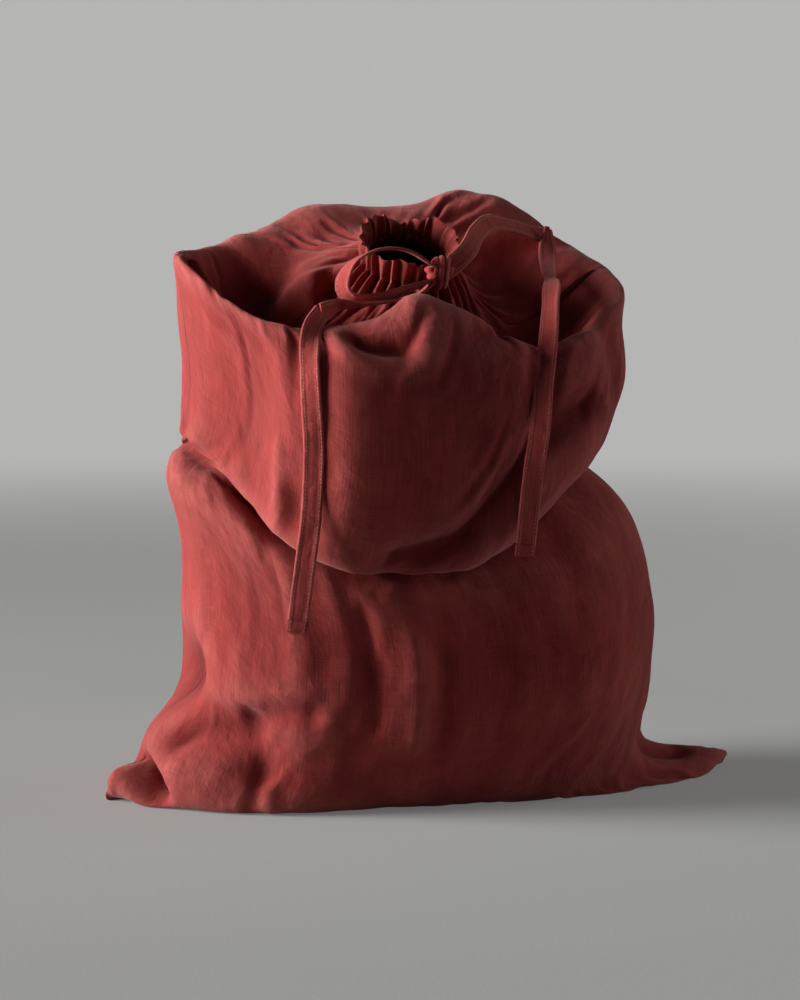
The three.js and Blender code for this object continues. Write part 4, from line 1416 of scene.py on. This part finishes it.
def cloth_material(name, colours, threads_per_metre, stitch_lines, crinkle_scale, roughness):
    deep, plain, pale = colours
    material = bpy.data.materials.new(name)
    material.use_nodes = True
    tree = material.node_tree
    shader = tree.nodes["Principled BSDF"]
    flat = tree.nodes.new("ShaderNodeUVMap")
    flat.uv_map = "flat cloth"
    place = flat.outputs["UV"]
    split = tree.nodes.new("ShaderNodeSeparateXYZ")
    tree.links.new(place, split.inputs[0])
    crest = tree.nodes.new("ShaderNodeAttribute")
    crest.attribute_name = "crest"
    woven = use_group(tree, weave, Place=place, Threads_per_Metre=threads_per_metre)
    wrinkled = use_group(tree, crinkle, Place=place, Scale=crinkle_scale)
    dyed = use_group(tree, dye, Place=place, Thread_Shade=woven.outputs["Thread Shade"],
                     Crest=crest.outputs["Fac"], Deep=deep, Plain=plain, Pale=pale)
    colour = dyed.outputs["Color"]
    stitched = None
    for axis, distances, mirrored in stitch_lines:
        measure = split.outputs[axis]
        along = split.outputs[1 - axis]
        if mirrored:
            measure = math_node(tree, "ABSOLUTE", measure)
        for distance in distances:
            from_line = math_node(tree, "SUBTRACT", measure, distance)
            row = use_group(tree, stitches, From_Line=from_line, Along=along)
            colour = mixed_colour(tree, row.outputs["Mask"], colour, thread_red)
            raised = row.outputs["Height"]
            stitched = raised if stitched is None else math_node(tree, "ADD", stitched, raised)
    tree.links.new(colour, shader.inputs["Base Color"])
    shader.inputs["Roughness"].default_value = roughness
    for label, value in cloth_finish.items():
        shader.inputs[label].default_value = value
    total = math_node(tree, "ADD", math_node(tree, "MULTIPLY", woven.outputs["Height"], weave_relief),
                      math_node(tree, "MULTIPLY", wrinkled.outputs["Height"], crinkle_relief))
    total = math_node(tree, "ADD", total, math_node(tree, "MULTIPLY", stitched, stitch_relief))
    bump = tree.nodes.new("ShaderNodeBump")
    bump.inputs["Strength"].default_value = 1.0
    bump.inputs["Distance"].default_value = 1.0
    tree.links.new(total, bump.inputs["Height"])
    tree.links.new(bump.outputs["Normal"], shader.inputs["Normal"])
    print(name, len(tree.nodes), "nodes")
    return material


# A row of stitches is given by its axis on the flat cloth, its distance from the origin of
# that axis, and whether it has a twin on the other side.
linen = cloth_material(
    "washed linen", linen_reds, threads_per_metre=1500.0,
    stitch_lines=[(1, [flat_height + stitch_height], False)], crinkle_scale=1.0, roughness=0.88)
tape = cloth_material(
    "linen tape", tape_reds, threads_per_metre=1700.0,
    stitch_lines=[(0, [0.0052], True)], crinkle_scale=1.6, roughness=0.84)

for piece in list(bpy.data.objects):
    if piece.type == "MESH" and "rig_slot" in piece:
        piece.data.materials.clear()
        piece.data.materials.append(linen if piece["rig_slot"] == "linen" else tape)

# %% [markdown]
# The bag stands on a pale floor that sweeps up into a pale wall on all sides, so that it can
# be looked at from anywhere. A large soft light, like a window, comes from the left. A much
# weaker one on the right stands for the light that a white wall throws back. The wall of
# the backdrop is brightened for the camera only, so the bag keeps its shade.

# %% Floor, backdrop and lights
def make_backdrop():
    floor_radius = 3.6
    bend = 1.2
    wall_height = 4.5
    around = 96
    profile = [(radius, 0.0) for radius in (0.5, 1.5, 2.5, floor_radius)]
    profile += [(floor_radius + bend * math.sin(turn), bend - bend * math.cos(turn))
                for turn in np.linspace(0, math.pi / 2, 17)[1:]]
    profile.append((floor_radius + bend, wall_height))
    points = [(0.0, 0.0, 0.0)]
    points += [(radius * math.cos(turn), radius * math.sin(turn), z)
               for radius, z in profile for turn in np.linspace(0, 2 * math.pi, around, endpoint=False)]
    faces = [[0, 1 + c, 1 + (c + 1) % around] for c in range(around)]
    faces += [[1 + r * around + c, 1 + (r + 1) * around + c, 1 + (r + 1) * around + (c + 1) % around,
               1 + r * around + (c + 1) % around] for r in range(len(profile) - 1) for c in range(around)]
    backdrop = make_piece("backdrop", points, faces)
    paper = bpy.data.materials.new("pale paper")
    paper.use_nodes = True
    shader = paper.node_tree.nodes["Principled BSDF"]
    tree = paper.node_tree
    here = tree.nodes.new("ShaderNodeNewGeometry")
    grain = noise_node(tree, here.outputs["Position"], 420.0, 2.0)
    shade = mixed_colour(tree, ramp_between(tree, grain, 0.35, 0.65), from_srgb(160, 162, 162),
                         from_srgb(166, 167, 167))
    tree.links.new(shade, shader.inputs["Base Color"])
    shader.inputs["Roughness"].default_value = 0.9
    shader.inputs["Specular IOR Level"].default_value = 0.1
    rays = tree.nodes.new("ShaderNodeLightPath")
    seen = math_node(tree, "MAXIMUM", rays.outputs["Is Camera Ray"], rays.outputs["Is Glossy Ray"])
    seen = math_node(tree, "MAXIMUM", seen, rays.outputs["Is Transmission Ray"])
    from_bag = tree.nodes.new("ShaderNodeVectorMath")
    from_bag.operation = "LENGTH"
    tree.links.new(here.outputs["Position"], from_bag.inputs[0])
    brighter_away = ramp_between(
        tree, from_bag.outputs["Value"], low=0.5, high=3.8, to_low=0.11, to_high=0.47)
    glow = math_node(tree, "MULTIPLY", seen, brighter_away)
    tree.links.new(glow, shader.inputs["Emission Strength"])
    shader.inputs["Emission Color"].default_value = from_srgb(250, 250, 247)
    backdrop.data.materials.append(paper)
    return backdrop


light_spread = math.radians(60)


def make_light(name, place, aim, size, power, colour):
    data = bpy.data.lights.new(name, "AREA")
    data.shape = "RECTANGLE"
    data.size, data.size_y = size
    data.energy = power
    data.color = colour
    data.spread = light_spread
    light = bpy.data.objects.new(name, data)
    bpy.context.scene.collection.objects.link(light)
    light.location = place
    light.rotation_euler = (Vector(aim) - Vector(place)).to_track_quat("-Z", "Y").to_euler()
    return light


make_backdrop()
make_light("window", place=(-3.35, 0.40, 1.30), aim=(0, 0, 0.95), size=(1.7, 1.9), power=50,
           colour=(1.0, 0.985, 0.96))
make_light("pale wall", place=(3.3, -0.3, 1.2), aim=(0, 0, 0.25), size=(2.4, 2.2), power=4.5,
           colour=(1.0, 0.985, 0.97))
world = bpy.data.worlds.new("room")
bpy.context.scene.world = world
world.use_nodes = True
sky = world.node_tree.nodes["Background"]
sky.inputs["Color"].default_value = (0.80, 0.90, 1.0, 1.0)
sky.inputs["Strength"].default_value = 0.032
bpy.context.scene.view_settings.view_transform = "Standard"
print("lights set")

# %% [markdown]
# The four loose ribbons are listed with their real lengths.

# %% Lengths of the loose ribbons
def route_length(line):
    return float(np.linalg.norm(np.diff(line, axis=0), axis=1).sum())


for ribbon, line, extra in (
    (left_strap, left_strap_line, []),
    (left_tie, left_line, [left_hem, left_fray]),
    (right_strap, right_strap_line, []),
    (right_tie, right_line, [right_hem, right_fray]),
):
    print(ribbon.name, "is", round(route_length(line) * 1000), "mm of loose tape")
